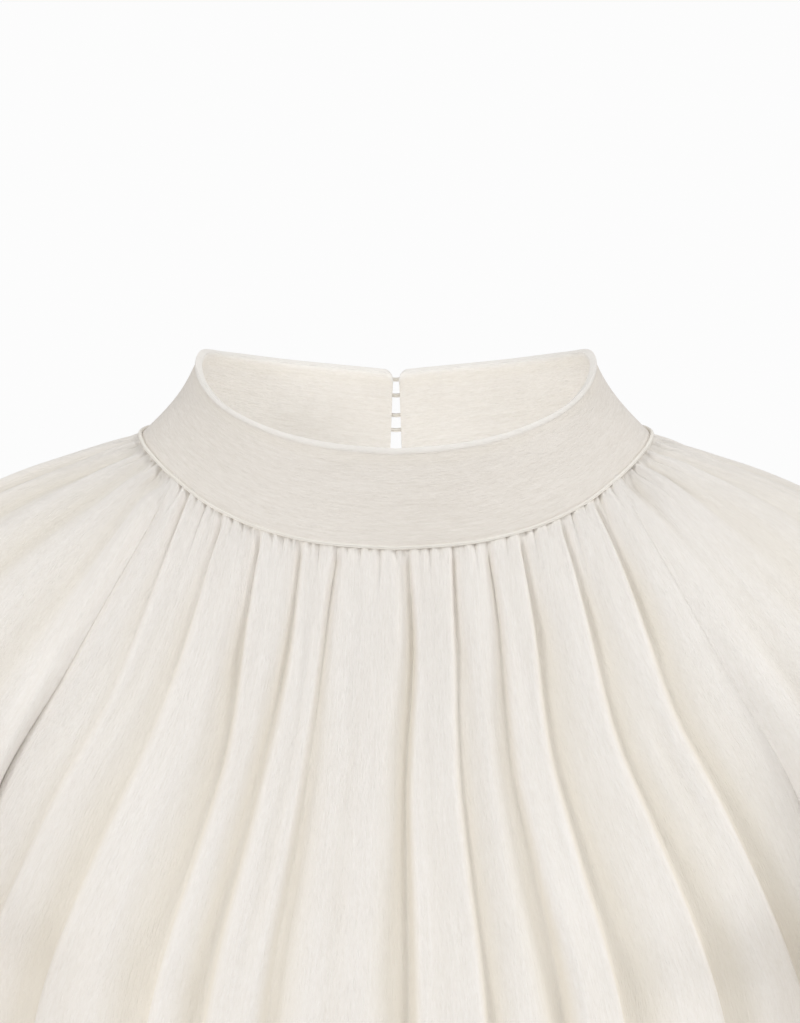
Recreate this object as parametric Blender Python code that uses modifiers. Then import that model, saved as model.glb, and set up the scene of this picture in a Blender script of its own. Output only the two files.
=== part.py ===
"""A blouse with raglan cape sleeves, a gathered neck and a stand collar, hollow as it is worn.

Sizes are millimetres here and metres in the scene. +Z is up, the front faces -Y, and +X is on the
right of somebody who looks at the front. The origin is on the neck's axis, level with the tops of
the shoulders, where the garment is held. A turn is an angle round the neck, 0 at the front, 90 on
the +X side and 180 at the back. Every panel runs "down" from 0 at the neck seam to 1 level with the
armpit and 2 at its hem, and "across" or "around" from -1 to 1 between its edges.
"""

import math
from collections import namedtuple
from functools import partial

import bmesh
import bpy
import numpy as np
from mathutils import Matrix

MM = 0.001
COLLECTION = "cape_blouse"

# Cloth and seams.
CLOTH = 1.2
COLLAR_CLOTH = 2.6
SEAM_GAP = 0.6
RAGLAN_GAP = 0.8
RAGLAN_FROM = 0.1
ARMPIT_GAP = 2.2
PIPING_RADIUS = 0.8
PIPING_OUT = 0.6
PIPING_TILT_FRONT = 25.0
PIPING_TILT_SIDE = 55.0
NECK_SEAM_ROOM = PIPING_RADIUS + 0.5

# The neck seam and the collar's rim, at the middle of the wall.
NECK_HALF_WIDTH = 94.0
NECK_FRONT_DEPTH = 78.0
NECK_BACK_DEPTH = 75.0
RIM_HALF_WIDTH = 73.0
RIM_FRONT_DEPTH = 60.0
RIM_BACK_DEPTH = 58.0
COLLAR_HEIGHT = 40.0
COLLAR_HOLLOW = 2.6
COLLAR_HOLLOW_FRONT = 0.4
COLLAR_CORNER = 3.2
CORNER_COLUMNS = (0.9925, 0.9975)

# The turns at which the raglan seams meet the neck seam.
FRONT_TURN = 60.0
BACK_TURN = 120.0

# The centre back opening, half of its width.
SLIT_AT_RIM = 1.1
SLIT_AT_SEAM = 2.4
SLIT_WIDEST = 5.0
SLIT_WIDEST_AT = 0.77
SLIT_END = 0.55
SLIT_PULL = 4

# Fastenings: cord loops on one side of the opening, and covered buttons on the other.
LOOP_DROPS = (4.4, 11.4, 20.2, 26.8)
LOOP_CORD = 0.42
LOOP_ROOT = 3.4
LOOP_SLACK = 0.35
STRAND_GAP = 0.12
LOOP_BENDS = 7
LOOP_OPENS = 1.6
CLEAR_OF_COLLAR = 0.3
SHANK_AT = 4.6
SHANK_RADIUS = 0.55
BUTTON_RADIUS = 2.5
BUTTON_DEPTH = 1.8
BUTTON_STAND = 1.9
BUTTON_UNDERSIDE = -60.0
BUTTON_RINGS = 5
BUTTON_SIDES = 12

Level = namedtuple("Level", "turn seam rim")
NECK_LEVELS = (
    Level(0, -34.7, 0.2),
    Level(15, -33.3, 1.5),
    Level(30, -29.2, 4.3),
    Level(45, -22.0, 8.8),
    Level(60, -12.6, 14.2),
    Level(75, -5.0, 20.8),
    Level(90, -0.8, 27.0),
    Level(105, -0.2, 29.8),
    Level(120, -3.4, 27.7),
    Level(150, -12.0, 22.3),
    Level(180, -18.5, 17.8),
)

Section = namedtuple("Section", "down crown_x crown_z inner_x inner_z sweep half_depth")
SLEEVE = (
    Section(0.00, 94, -0.8, 81.4, -12.6, 30, 78),
    Section(0.15, 118, -7.8, 92, -30, 52, 72),
    Section(0.30, 142, -15.6, 105, -51, 70, 72),
    Section(0.50, 180, -33.5, 124, -84, 95, 75),
    Section(0.70, 217, -61.0, 144, -118, 120, 78),
    Section(0.85, 248, -97.0, 160, -158, 145, 80),
    Section(1.00, 281, -150.0, 172, -195, 179.8, 84),
    Section(1.33, 316, -224.0, 198, -262, 179.85, 95),
    Section(1.66, 350, -296.0, 224, -330, 179.87, 106),
    Section(2.00, 382, -366.0, 250, -398, 179.88, 118),
)

Middle = namedtuple("Middle", "down y z bend swell")
FRONT = (
    Middle(0.00, -78, -34.7, 60, 0.0),
    Middle(0.15, -86, -58, 60, 0.02),
    Middle(0.30, -93, -83, 62, 0.02),
    Middle(0.50, -103, -118, 66, 0.03),
    Middle(0.70, -115, -155, 72, 0.06),
    Middle(0.85, -124, -185, 80, 0.1),
    Middle(1.00, -131, -218, 89, 0.13),
    Middle(1.33, -140, -350, 89, 0.15),
    Middle(1.66, -150, -485, 89, 0.16),
    Middle(2.00, -160, -622, 89, 0.165),
)
BACK = (
    Middle(0.00, 75, -18.5, 60, 0.0),
    Middle(0.15, 84, -42, 60, 0.02),
    Middle(0.30, 91, -68, 62, 0.02),
    Middle(0.50, 99, -105, 66, 0.03),
    Middle(0.70, 105, -145, 72, 0.06),
    Middle(0.85, 108, -180, 80, 0.1),
    Middle(1.00, 110, -215, 89, 0.13),
    Middle(1.33, 117, -350, 89, 0.15),
    Middle(1.66, 127, -487, 89, 0.16),
    Middle(2.00, 138, -625, 89, 0.165),
)

Side = namedtuple("Side", "down x z")
SIDE_SEAM = (Side(1.0, 172, -195), Side(1.5, 220, -398), Side(2.0, 268, -602))

# How long folds deepen and widen from the neck seam to chest height and on to the hem.
UPPER_CHEST = 0.2
CHEST = 0.55
FOLD_AT_NECK = 1.7
FOLD_NECK_WIDTH = 2.1
FOLD_DEEP_AT = 0.3
FOLD_HEM_GROWTH = 1.9
FOLD_RUN_OUT = 0.4
TO_THE_HEM = 2.2

# Each long fold of the front: where it lies at the neck seam, a fifth of the way down and at chest
# height, how far down it runs, and its depth and its two half widths at chest height.
Fold = namedtuple("Fold", "top mid low end depth left right")
FRONT_FOLDS = (
    Fold(-0.90, -0.885, -0.86, 1.5, 3.0, 5.0, 2.2),
    Fold(-0.71, -0.72, -0.715, TO_THE_HEM, 4.2, 7.5, 2.4),
    Fold(-0.535, -0.54, -0.50, TO_THE_HEM, 5.6, 7.5, 2.4),
    Fold(-0.365, -0.375, -0.395, TO_THE_HEM, 5.7, 4.2, 3.0),
    Fold(-0.22, -0.25, -0.255, TO_THE_HEM, 4.0, 2.3, 5.5),
    Fold(0.045, 0.06, 0.025, TO_THE_HEM, 5.8, 7.0, 2.4),
    Fold(0.215, 0.215, 0.19, TO_THE_HEM, 3.6, 2.1, 4.8),
    Fold(0.352, 0.37, 0.335, TO_THE_HEM, 5.0, 6.0, 2.4),
    Fold(0.485, 0.50, 0.46, TO_THE_HEM, 5.8, 2.3, 7.5),
    Fold(0.67, 0.685, 0.65, TO_THE_HEM, 5.0, 2.3, 7.0),
    Fold(0.845, 0.865, 0.825, TO_THE_HEM, 4.8, 2.5, 8.5),
)

# Short gathers under the neck seam: place, how far down each runs, and depth.
Gather = namedtuple("Gather", "top end depth")
FRONT_GATHERS = (
    Gather(-0.95, 0.14, 1.5),
    Gather(-0.85, 0.08, 1.1),
    Gather(-0.80, 0.20, 1.5),
    Gather(-0.66, 0.07, 1.1),
    Gather(-0.61, 0.08, 1.3),
    Gather(-0.575, 0.07, 0.9),
    Gather(-0.48, 0.08, 1.1),
    Gather(-0.435, 0.10, 1.4),
    Gather(-0.40, 0.07, 0.9),
    Gather(-0.325, 0.07, 0.9),
    Gather(-0.292, 0.12, 1.5),
    Gather(-0.18, 0.07, 1.0),
    Gather(-0.135, 0.07, 1.2),
    Gather(-0.06, 0.14, 1.5),
    Gather(0.0, 0.07, 1.0),
    Gather(0.09, 0.08, 0.9),
    Gather(0.126, 0.10, 1.4),
    Gather(0.165, 0.07, 0.9),
    Gather(0.255, 0.07, 0.9),
    Gather(0.30, 0.09, 1.4),
    Gather(0.425, 0.08, 1.1),
    Gather(0.545, 0.12, 1.4),
    Gather(0.60, 0.07, 1.0),
    Gather(0.723, 0.26, 1.6),
    Gather(0.79, 0.08, 1.1),
    Gather(0.88, 0.12, 1.5),
    Gather(0.95, 0.10, 1.4),
)
GATHER_WIDTH = 1.6

# Folds and gathers of the panels that the photograph doesn't show from the front.
TUCKS_A_FOLD = 3
BACK_TUCKS = 34
BACK_FOLD_DEPTH = 5.0
BACK_FOLD_WIDTH = 8.0
SLEEVE_TUCKS = 21
SLEEVE_FOLD_DEPTH = 3.2
SLEEVE_FOLD_WIDTH = 10.0
PLAIN_GATHER_END = 0.11
PLAIN_GATHER_DEPTH = 1.3
PLACE_UNEVEN = 0.16
PLACE_TURN = 2.3
SIZE_UNEVEN = 0.3
SIZE_TURN = 1.7
DRIFT = 0.067

# Folds die out beside a seam, and the gathered cloth puffs out under the neck seam.
EDGE_AT_NECK = 4.0
EDGE_GROWTH = 36.0
PUFF = 2.0
SLEEVE_PUFF = 0.9
PUFF_AT = 0.1

# The soft roll of the sleeve along the front raglan seam, from below the neck to the armpit.
ROLL_HEIGHT = 3.4
ROLL_IN = 9.0
ROLL_WIDTH = 5.0
ROLL_FROM = 0.02
ROLL_RISE = 0.12
ROLL_FALL = 0.3

# The sleeve's edges stay smooth at the armpit, where the side seam starts.
SMOOTH_FROM = 0.75
SMOOTH_TO = 1.05
FOLDED_FROM = 0.95
FOLDED_TO = 1.45
ARMPIT_FROM = 0.55

# The grids of columns and rows, and the steps that their sums use.
WIDEST_COLUMN = 0.08
COLLAR_COLUMNS = 68
PIPING_STEPS = 84
DOWNS = (0, 0.035, 0.08, 0.15, 0.25, 0.4, 0.55, 0.7, 0.85, 1.0, 1.33, 1.66, 2.0)
COLLAR_RISES = (0.0, 0.35, 0.7, 1.0)
ROUND_POWER = 7
ROW_SAMPLES = 41
STEP = 0.004
NEIGHBOURS = 3
WELD = 0.00001
NECK_FADE = 0.5


def cubic(keys, values, at):
    """A smooth curve through the values at the keys, which never swings past them."""
    keys = np.asarray(keys, float)
    values = np.asarray(values, float)
    steps = np.diff(keys)
    secants = np.diff(values) / steps
    product = secants[1:] * secants[:-1]
    total = np.where(product > 0, secants[1:] + secants[:-1], 1)
    middle = np.where(product > 0, 2 * product / total, 0)
    slopes = np.concatenate([secants[:1], middle, secants[-1:]])
    at = np.asarray(at, float)
    low = np.clip(np.searchsorted(keys, at) - 1, 0, len(keys) - 2)
    part = (at - keys[low]) / steps[low]
    rise = values[low + 1] - values[low]
    first = steps[low] * slopes[low]
    last = steps[low] * slopes[low + 1]
    bow = 3 * rise - 2 * first - last
    return values[low] + part * (first + part * (bow + part * (first + last - 2 * rise)))


def read(rows, column, at):
    """One column of a table, read smoothly at a place down its first column."""
    return cubic([row[0] for row in rows], [getattr(row, column) for row in rows], at)


def smooth_step(value):
    part = np.clip(value, 0, 1)
    return part * part * (3 - 2 * part)


def ring(turn, half_width, front_depth, back_depth, column):
    """Points round the neck at these turns, in degrees, at the heights of one column."""
    angle = np.radians(turn)
    depth = np.where(np.cos(angle) > 0, front_depth, back_depth)
    height = read(NECK_LEVELS, column, np.abs(turn))
    return np.stack([half_width * np.sin(angle), -depth * np.cos(angle), height], -1)


def neck_seam(turn):
    return ring(turn, NECK_HALF_WIDTH, NECK_FRONT_DEPTH, NECK_BACK_DEPTH, "seam")


def collar_rim(turn):
    return ring(turn, RIM_HALF_WIDTH, RIM_FRONT_DEPTH, RIM_BACK_DEPTH, "rim")


def collar_wall(turn, rise):
    """The collar from its seam, rise 0, to its rim, rise 1, hollowed between the two."""
    foot = neck_seam(turn)
    top = collar_rim(turn)
    inward = -foot * np.array([1, 1, 0])
    inward /= np.linalg.norm(inward, axis=-1, keepdims=True)
    side = np.abs(np.sin(np.radians(turn)))
    share = COLLAR_HOLLOW_FRONT + (1 - COLLAR_HOLLOW_FRONT) * side
    depth = COLLAR_HOLLOW * share * np.sin(math.pi * rise)
    mixed = foot + (top - foot) * np.expand_dims(rise, -1)
    return mixed + inward * np.expand_dims(depth, -1)


def neck_fade(down):
    return max(0.0, 1 - down / NECK_FADE) ** 2


def sleeve_section(around, down):
    """One section of the +X sleeve, from its back edge to its front edge, over the shoulder."""
    value = {name: read(SLEEVE, name, down) for name in Section._fields[1:]}
    sweep = np.radians(value["sweep"])
    part = (1 - np.cos(sweep * around)) / (1 - np.cos(sweep))
    x = value["crown_x"] + (value["inner_x"] - value["crown_x"]) * part
    z = value["crown_z"] + (value["inner_z"] - value["crown_z"]) * part
    return np.stack([x, -value["half_depth"] * np.sin(sweep * around), z], -1)


def sleeve_surface(around, down):
    """The sleeve's smooth surface, drawn onto the neck seam at its top."""
    middle_turn = (FRONT_TURN + BACK_TURN) / 2
    seam = neck_seam(middle_turn - (BACK_TURN - FRONT_TURN) / 2 * around)
    pull = seam - sleeve_section(around, 0.0)
    return sleeve_section(around, down) + pull * neck_fade(down)


def panel_edge(side, down):
    """The +X edge of the front (side 1) or the back (side -1): raglan seam, then side seam."""
    if down <= 1:
        return sleeve_surface(np.array([float(side)]), down)[0]
    return np.array([read(SIDE_SEAM, "x", down), 0.0, read(SIDE_SEAM, "z", down)])


def body_section(rows, side, across, down):
    edge = panel_edge(side, down)
    bend = np.radians(read(rows, "bend", down))
    swell = read(rows, "swell", down)
    part = (1 - np.cos(bend * across)) / (1 - np.cos(bend))
    spread = across + swell * (across - across**ROUND_POWER)
    middle_y = read(rows, "y", down)
    middle_z = read(rows, "z", down)
    y = middle_y + (edge[1] - middle_y) * part
    z = middle_z + (edge[2] - middle_z) * part
    return np.stack([edge[0] * spread, y, z], -1)


def front_surface(across, down):
    """The front's smooth surface, drawn onto the neck seam at its top."""
    pull = neck_seam(FRONT_TURN * across) - body_section(FRONT, 1, across, 0.0)
    return body_section(FRONT, 1, across, down) + pull * neck_fade(down)


def back_surface(across, down):
    """The back's smooth surface. Turns past 180 are the -X side."""
    reach = (180 - BACK_TURN) * across
    turn = np.where(across >= 0, 180 - reach, -180 - reach)
    pull = neck_seam(turn) - body_section(BACK, -1, across, 0.0)
    return body_section(BACK, -1, across, down) + pull * neck_fade(down)


def row_length(surface, down):
    """Half of the length of a surface's row, in millimetres."""
    points = surface(np.linspace(-1, 1, ROW_SAMPLES), down)
    return np.linalg.norm(np.diff(points, axis=0), axis=1).sum() / 2


def valley(distance, left, right):
    """A smooth trough, 1 at its middle, with its own width on each side."""
    width = np.where(distance < 0, left, right)
    return np.exp(-((distance / width) ** 2))


def fold_place(fold, down):
    return cubic((0, UPPER_CHEST, CHEST, 2), (fold.top, fold.mid, fold.low, fold.low), down)


def fold_lift(folds, across, down, half_row):
    """How far long folds sink the surface along one row."""
    lift = np.zeros_like(across)
    chest = smooth_step(down / CHEST)
    grow = 1 + FOLD_HEM_GROWTH * max(0.0, down - CHEST) / (2 - CHEST)
    for fold in folds:
        depth = FOLD_AT_NECK + (fold.depth - FOLD_AT_NECK) * smooth_step(down / FOLD_DEEP_AT)
        depth *= grow * smooth_step((fold.end - down) / FOLD_RUN_OUT)
        left = (FOLD_NECK_WIDTH + (fold.left - FOLD_NECK_WIDTH) * chest) * grow
        right = (FOLD_NECK_WIDTH + (fold.right - FOLD_NECK_WIDTH) * chest) * grow
        lift -= depth * valley((across - fold_place(fold, down)) * half_row, left, right)
    return lift


def gather_lift(gathers, across, down, half_row):
    """How far short gathers sink the surface along one row."""
    lift = np.zeros_like(across)
    for gather in gathers:
        depth = gather.depth * smooth_step(1 - down / gather.end)
        lift -= depth * valley((across - gather.top) * half_row, GATHER_WIDTH, GATHER_WIDTH)
    return lift


def puff(height, down):
    """The gathered cloth stands out just under the seam, then settles."""
    return height * (down / PUFF_AT) * math.exp(1 - down / PUFF_AT)


def scattered(count, start, uneven):
    """Places from -1 to 1, evenly many but unevenly spaced, the same on every run."""
    pitch = 2 / count
    return [
        -1 + pitch * (index + 0.5 + uneven * math.sin(start + PLACE_TURN * index * index))
        for index in range(count)
    ]


def plain_tucks(count, start, depth, width):
    """Long folds with shorter gathers between them, each a little unlike the next, for a panel
    that the photograph doesn't show."""
    folds, gathers = [], []
    for index, place in enumerate(scattered(count, start, PLACE_UNEVEN)):
        swing = SIZE_UNEVEN * math.sin(start + SIZE_TURN * index)
        if index % TUCKS_A_FOLD != TUCKS_A_FOLD // 2:
            gathers.append(Gather(place, PLAIN_GATHER_END * (1 + swing), PLAIN_GATHER_DEPTH))
            continue
        folds.append(
            Fold(
                place,
                place,
                place * (1 + swing * DRIFT),
                TO_THE_HEM,
                depth * (1 + swing),
                width * (1 - swing),
                width * (1 + swing),
            )
        )
    return folds, gathers


BACK_FOLDS, BACK_GATHERS = plain_tucks(BACK_TUCKS, 0.4, BACK_FOLD_DEPTH, BACK_FOLD_WIDTH)
RIGHT_FOLDS, RIGHT_GATHERS = plain_tucks(SLEEVE_TUCKS, 1.9, SLEEVE_FOLD_DEPTH, SLEEVE_FOLD_WIDTH)
LEFT_FOLDS, LEFT_GATHERS = plain_tucks(SLEEVE_TUCKS, 3.1, SLEEVE_FOLD_DEPTH, SLEEVE_FOLD_WIDTH)
SLEEVE_FOLDS = {1: RIGHT_FOLDS, -1: LEFT_FOLDS}
SLEEVE_GATHERS = {1: RIGHT_GATHERS, -1: LEFT_GATHERS}


def edge_fade(across, down, half_row):
    """Folds die out beside a seam, over a few millimetres at the neck and more at the hem."""
    return smooth_step((1 - np.abs(across)) * half_row / (EDGE_AT_NECK + EDGE_GROWTH * down))


def front_lift(across, down, half_row):
    lift = fold_lift(FRONT_FOLDS, across, down, half_row)
    lift += gather_lift(FRONT_GATHERS, across, down, half_row)
    return lift * edge_fade(across, down, half_row) + puff(PUFF, down)


def back_lift(across, down, half_row):
    lift = fold_lift(BACK_FOLDS, across, down, half_row)
    lift += gather_lift(BACK_GATHERS, across, down, half_row)
    return lift * edge_fade(across, down, half_row) + puff(PUFF, down)


def sleeve_roll(around, down, half_row):
    """The roll beside the front raglan seam, from just under the neck to the armpit."""
    inside = (1 - around) * half_row
    along = smooth_step((down - ROLL_FROM) / ROLL_RISE) * smooth_step((1 - down) / ROLL_FALL)
    return ROLL_HEIGHT * along * np.exp(-(((inside - ROLL_IN) / ROLL_WIDTH) ** 2))


def sleeve_lift(side, around, down, half_row):
    above = smooth_step((SMOOTH_TO - down) / (SMOOTH_TO - SMOOTH_FROM))
    below = smooth_step((down - FOLDED_FROM) / (FOLDED_TO - FOLDED_FROM))
    lift = fold_lift(SLEEVE_FOLDS[side], around, down, half_row) * (above + below)
    lift += gather_lift(SLEEVE_GATHERS[side], around, down, half_row)
    lift *= edge_fade(around, down, half_row)
    return lift + sleeve_roll(around, down, half_row) + puff(SLEEVE_PUFF, down)


def raised_row(surface, lift, across, down, outward):
    """A row of a surface, moved out along the surface's normals by the lift."""
    aside = surface(across + STEP, down) - surface(across - STEP, down)
    above = surface(across, max(0.0, down - STEP))
    below = surface(across, min(2.0, down + STEP))
    normal = np.cross(aside, below - above) * outward
    normal /= np.linalg.norm(normal, axis=-1, keepdims=True)
    height = lift(across, down, row_length(surface, down))
    return surface(across, down) + normal * height[:, None]


def trimmed(row, first, last):
    """Draws the two ends of a row back along it, by their own amounts."""
    length = np.concatenate([[0], np.linalg.norm(np.diff(row, axis=0), axis=1).cumsum()])
    part = first + (length / length[-1]) * (length[-1] - first - last)
    return np.stack([np.interp(part, length, row[:, axis]) for axis in range(3)], -1)


def drawn_down(rows):
    """Starts the first row a little way down its panel, which leaves room for the piping."""
    way = rows[1] - rows[0]
    way /= np.linalg.norm(way, axis=1, keepdims=True)
    last = len(way) - 1
    spots = np.arange(last + 1)
    ahead = rows[0][np.minimum(spots + NEIGHBOURS, last)]
    along = ahead - rows[0][np.maximum(spots - NEIGHBOURS, 0)]
    along /= np.linalg.norm(along, axis=1, keepdims=True)
    square = np.sqrt(1 - (way * along).sum(axis=1, keepdims=True) ** 2)
    rows[0] = rows[0] + way * NECK_SEAM_ROOM / square
    return rows


def columns_at_neck(edges, folds, gathers):
    """Places for the columns: each fold, each gather and midway between, none far from the next."""
    spots = np.array(sorted([*edges, *(row.top for row in (*folds, *gathers))]))
    places = [spots[:1]]
    for low, high in zip(spots, spots[1:]):
        parts = 2 * math.ceil((high - low) / (2 * WIDEST_COLUMN))
        places.append(np.linspace(low, high, parts + 1)[1:])
    return np.concatenate(places)


def followed(tops, folds, down):
    """Where the columns that start at these places lie on one row, as they follow the folds."""
    knots = [-1, *(fold.top for fold in folds), 1]
    return np.interp(tops, knots, [-1, *(fold_place(fold, down) for fold in folds), 1])


def seam_room(down):
    """Half of the gap between two panels. It is wider along the raglan seams, below the neck."""
    return (RAGLAN_GAP if RAGLAN_FROM < down < 1 else SEAM_GAP) / 2


def front_rows(downs):
    tops = columns_at_neck((-1, 1), FRONT_FOLDS, FRONT_GATHERS)
    rows = []
    for down in downs:
        across = followed(tops, FRONT_FOLDS, down)
        row = raised_row(front_surface, front_lift, across, down, -1)
        rows.append(trimmed(row, seam_room(down), seam_room(down)))
    return drawn_down(rows)


def slit_half(down):
    """Half of the centre back opening's width at a place down the back."""
    part = min(1.0, down / SLIT_END)
    widen = math.sin(math.pi / 2 * min(1.0, part / SLIT_WIDEST_AT))
    return (SLIT_AT_SEAM + (SLIT_WIDEST - SLIT_AT_SEAM) * widen) * math.sqrt(1 - part**3)


def back_rows(downs):
    """Two halves of each row, which part at the opening and meet below it."""
    tops = columns_at_neck((-1, 0, 1), BACK_FOLDS, BACK_GATHERS)
    halves = []
    for side, half in ((-1, tops[tops <= 0]), (1, tops[tops >= 0][::-1])):
        rows = []
        for down in downs:
            across = followed(half, BACK_FOLDS, down)
            row = raised_row(back_surface, back_lift, across, down, 1)
            row[:, 0] += side * slit_half(down) * (1 - np.abs(across)) ** SLIT_PULL
            rows.append(trimmed(row, seam_room(down), 0))
        halves.append(drawn_down(rows))
    return halves


def sleeve_rows(side, downs):
    """The rows of one sleeve, worked out at +X and turned over for side -1."""
    tops = columns_at_neck((-1, 1), SLEEVE_FOLDS[side], SLEEVE_GATHERS[side])
    lift = partial(sleeve_lift, side)
    rows = []
    for down in downs:
        around = followed(tops, SLEEVE_FOLDS[side], down)
        row = raised_row(sleeve_surface, lift, around, down, 1)
        clear = ARMPIT_GAP * smooth_step((down - ARMPIT_FROM) / (1 - ARMPIT_FROM))
        row[:, 0] += clear * np.abs(around) ** 3
        room = seam_room(down) if down < 1 else 0
        rows.append(trimmed(row, room, room) * np.array([side, 1, 1]))
    return drawn_down(rows)


def collar_rows(columns, rises):
    """Rows of the collar from the seam to the rim, with its two back corners rounded."""
    near = np.array(CORNER_COLUMNS)
    part = np.sort(np.concatenate([np.linspace(-1, 1, columns + 1), near, -near]))
    rows = []
    for rise in rises:
        half = SLIT_AT_SEAM + (SLIT_AT_RIM - SLIT_AT_SEAM) * rise
        width = NECK_HALF_WIDTH + (RIM_HALF_WIDTH - NECK_HALF_WIDTH) * rise
        turn = part * (180 - math.degrees(math.asin(half / width)))
        to_edge = (1 - np.abs(part)) * math.pi * width
        inside = np.clip(COLLAR_CORNER - to_edge, 0, COLLAR_CORNER)
        drop = COLLAR_CORNER - np.sqrt(COLLAR_CORNER**2 - inside**2)
        height = np.full_like(part, rise) * (1 - drop * rise**3 / COLLAR_HEIGHT)
        foot = NECK_SEAM_ROOM / COLLAR_HEIGHT * (1 - rise)
        rows.append(collar_wall(turn, height + foot))
    return rows


def material(name, color, roughness):
    made = bpy.data.materials.new(name)
    made.use_nodes = True
    shader = made.node_tree.nodes["Principled BSDF"]
    shader.inputs["Base Color"].default_value = (*color, 1)
    shader.inputs["Roughness"].default_value = roughness
    shader.inputs["Metallic"].default_value = 0
    return made


def new_object(name, data, surface):
    data.materials.append(surface)
    made = bpy.data.objects.new(name, data)
    bpy.data.collections[COLLECTION].objects.link(made)
    return made


def cloth_object(name, grids, surface, thickness):
    """Joins grids of rows into one open surface, and gives it a thickness to both sides."""
    mesh = bmesh.new()
    for rows in grids:
        points = [[mesh.verts.new(point * MM) for point in row] for row in rows]
        for upper, lower in zip(points, points[1:]):
            for left in range(len(upper) - 1):
                mesh.faces.new((upper[left], lower[left], lower[left + 1], upper[left + 1]))
    bmesh.ops.remove_doubles(mesh, verts=mesh.verts, dist=WELD)
    bmesh.ops.recalc_face_normals(mesh, faces=mesh.faces)
    for face in mesh.faces:
        face.smooth = True
    data = bpy.data.meshes.new(name)
    mesh.to_mesh(data)
    mesh.free()
    made = new_object(name, data, surface)
    wall = made.modifiers.new("Wall", "SOLIDIFY")
    wall.thickness = thickness * MM
    wall.offset = 0
    return made


def tube(name, points, radius, surface, sides):
    """A round cord along these points, with closed ends."""
    curve = bpy.data.curves.new(name, "CURVE")
    curve.dimensions = "3D"
    curve.bevel_depth = radius * MM
    curve.bevel_resolution = sides
    curve.use_fill_caps = True
    spline = curve.splines.new("POLY")
    spline.points.add(len(points) - 1)
    for spot, point in zip(spline.points, points):
        spot.co = (*(np.asarray(point) * MM), 1)
    return new_object(name, curve, surface)


def build_piping(surface):
    """The thin raised cord in the neck seam, from one side of the opening to the other."""
    last = 180 - math.degrees(math.asin(SLIT_AT_SEAM / NECK_HALF_WIDTH))
    turn = np.linspace(-last, last, PIPING_STEPS + 1)
    level = neck_seam(turn) * np.array([1, 1, 0])
    level /= np.linalg.norm(level, axis=1, keepdims=True)
    side = np.sin(np.radians(turn)) ** 2
    tilt = PIPING_TILT_FRONT + (PIPING_TILT_SIDE - PIPING_TILT_FRONT) * side
    tilt = np.radians(tilt)[:, None]
    out = level * np.cos(tilt) + np.array([0, 0, 1]) * np.sin(tilt)
    points = neck_seam(turn) + out * PIPING_OUT
    return tube("neck_piping", points, PIPING_RADIUS, surface, 1)


def back_place(drop, aside):
    """A point in the middle of the back collar's wall, at a drop below the rim, aside from the
    middle of the opening, with the way out of the cloth there."""
    rise = 1 - drop / COLLAR_HEIGHT
    width = NECK_HALF_WIDTH + (RIM_HALF_WIDTH - NECK_HALF_WIDTH) * rise
    turn = math.copysign(180 - math.degrees(math.asin(abs(aside) / width)), aside)
    point = collar_wall(np.array([turn]), np.array([rise]))[0]
    step = collar_wall(np.array([turn]), np.array([rise + STEP]))[0] - point
    along = np.array([1.0, 0.0, 0.0])
    out = np.cross(step, along)
    out /= np.linalg.norm(out)
    return point, out * math.copysign(1, out[1]), step / np.linalg.norm(step)


def build_loop(index, drop, surface):
    """A cord that leaves one edge, crosses the opening with its two strands side by side, passes
    round the button's shank and comes back."""
    lift = COLLAR_CLOTH / 2 + CLEAR_OF_COLLAR + LOOP_CORD
    point, out, up = back_place(drop, SHANK_AT)
    bend = SHANK_RADIUS + LOOP_CORD + LOOP_SLACK
    middle = point + out * lift
    across = np.array([1.0, 0.0, 0.0])
    around = [
        middle + (across * math.cos(turn) + up * math.sin(turn)) * bend
        for turn in np.linspace(math.pi / 2, -math.pi / 2, LOOP_BENDS)
    ]
    straight = []
    for aside in (-LOOP_ROOT, LOOP_OPENS):
        place, way, _ = back_place(drop, aside)
        straight.append(place + way * lift)
    strand = up * (LOOP_CORD + STRAND_GAP)
    upper = [spot + strand for spot in straight]
    lower = [spot - strand for spot in reversed(straight)]
    return tube(f"button_loop_{index}", upper + around + lower, LOOP_CORD, surface, 1)


def build_button(index, drop, surface):
    """A covered button: a turned shank and dome, standing on the outside of the collar."""
    point, out, up = back_place(drop, SHANK_AT)
    base = COLLAR_CLOTH / 2 + CLEAR_OF_COLLAR
    head = base + BUTTON_STAND
    profile = [(0.0, base), (SHANK_RADIUS, base), (SHANK_RADIUS, head)]
    for turn in np.linspace(BUTTON_UNDERSIDE, 90, BUTTON_RINGS)[:-1]:
        angle = math.radians(turn)
        height = head + BUTTON_DEPTH / 2 * (1 + math.sin(angle))
        profile.append((BUTTON_RADIUS * math.cos(angle), height))
    profile.append((0.0, head + BUTTON_DEPTH))
    data = bpy.data.meshes.new(f"button_{index}")
    edges = [(spot, spot + 1) for spot in range(len(profile) - 1)]
    data.from_pydata([(reach * MM, 0, height * MM) for reach, height in profile], edges, [])
    made = new_object(f"button_{index}", data, surface)
    turned = made.modifiers.new("Turned", "SCREW")
    turned.steps = BUTTON_SIDES
    turned.render_steps = BUTTON_SIDES
    turned.use_merge_vertices = True
    turned.merge_threshold = WELD
    turned.use_normal_calculate = True
    side = np.cross(up, out)
    rows = [(side[axis], up[axis], out[axis], point[axis] * MM) for axis in range(3)]
    made.matrix_world = Matrix((*rows, (0, 0, 0, 1)))
    return made


def clear_scene():
    for item in list(bpy.data.objects):
        bpy.data.objects.remove(item)
    shelf = bpy.data.collections.new(COLLECTION)
    bpy.context.scene.collection.children.link(shelf)


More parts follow.
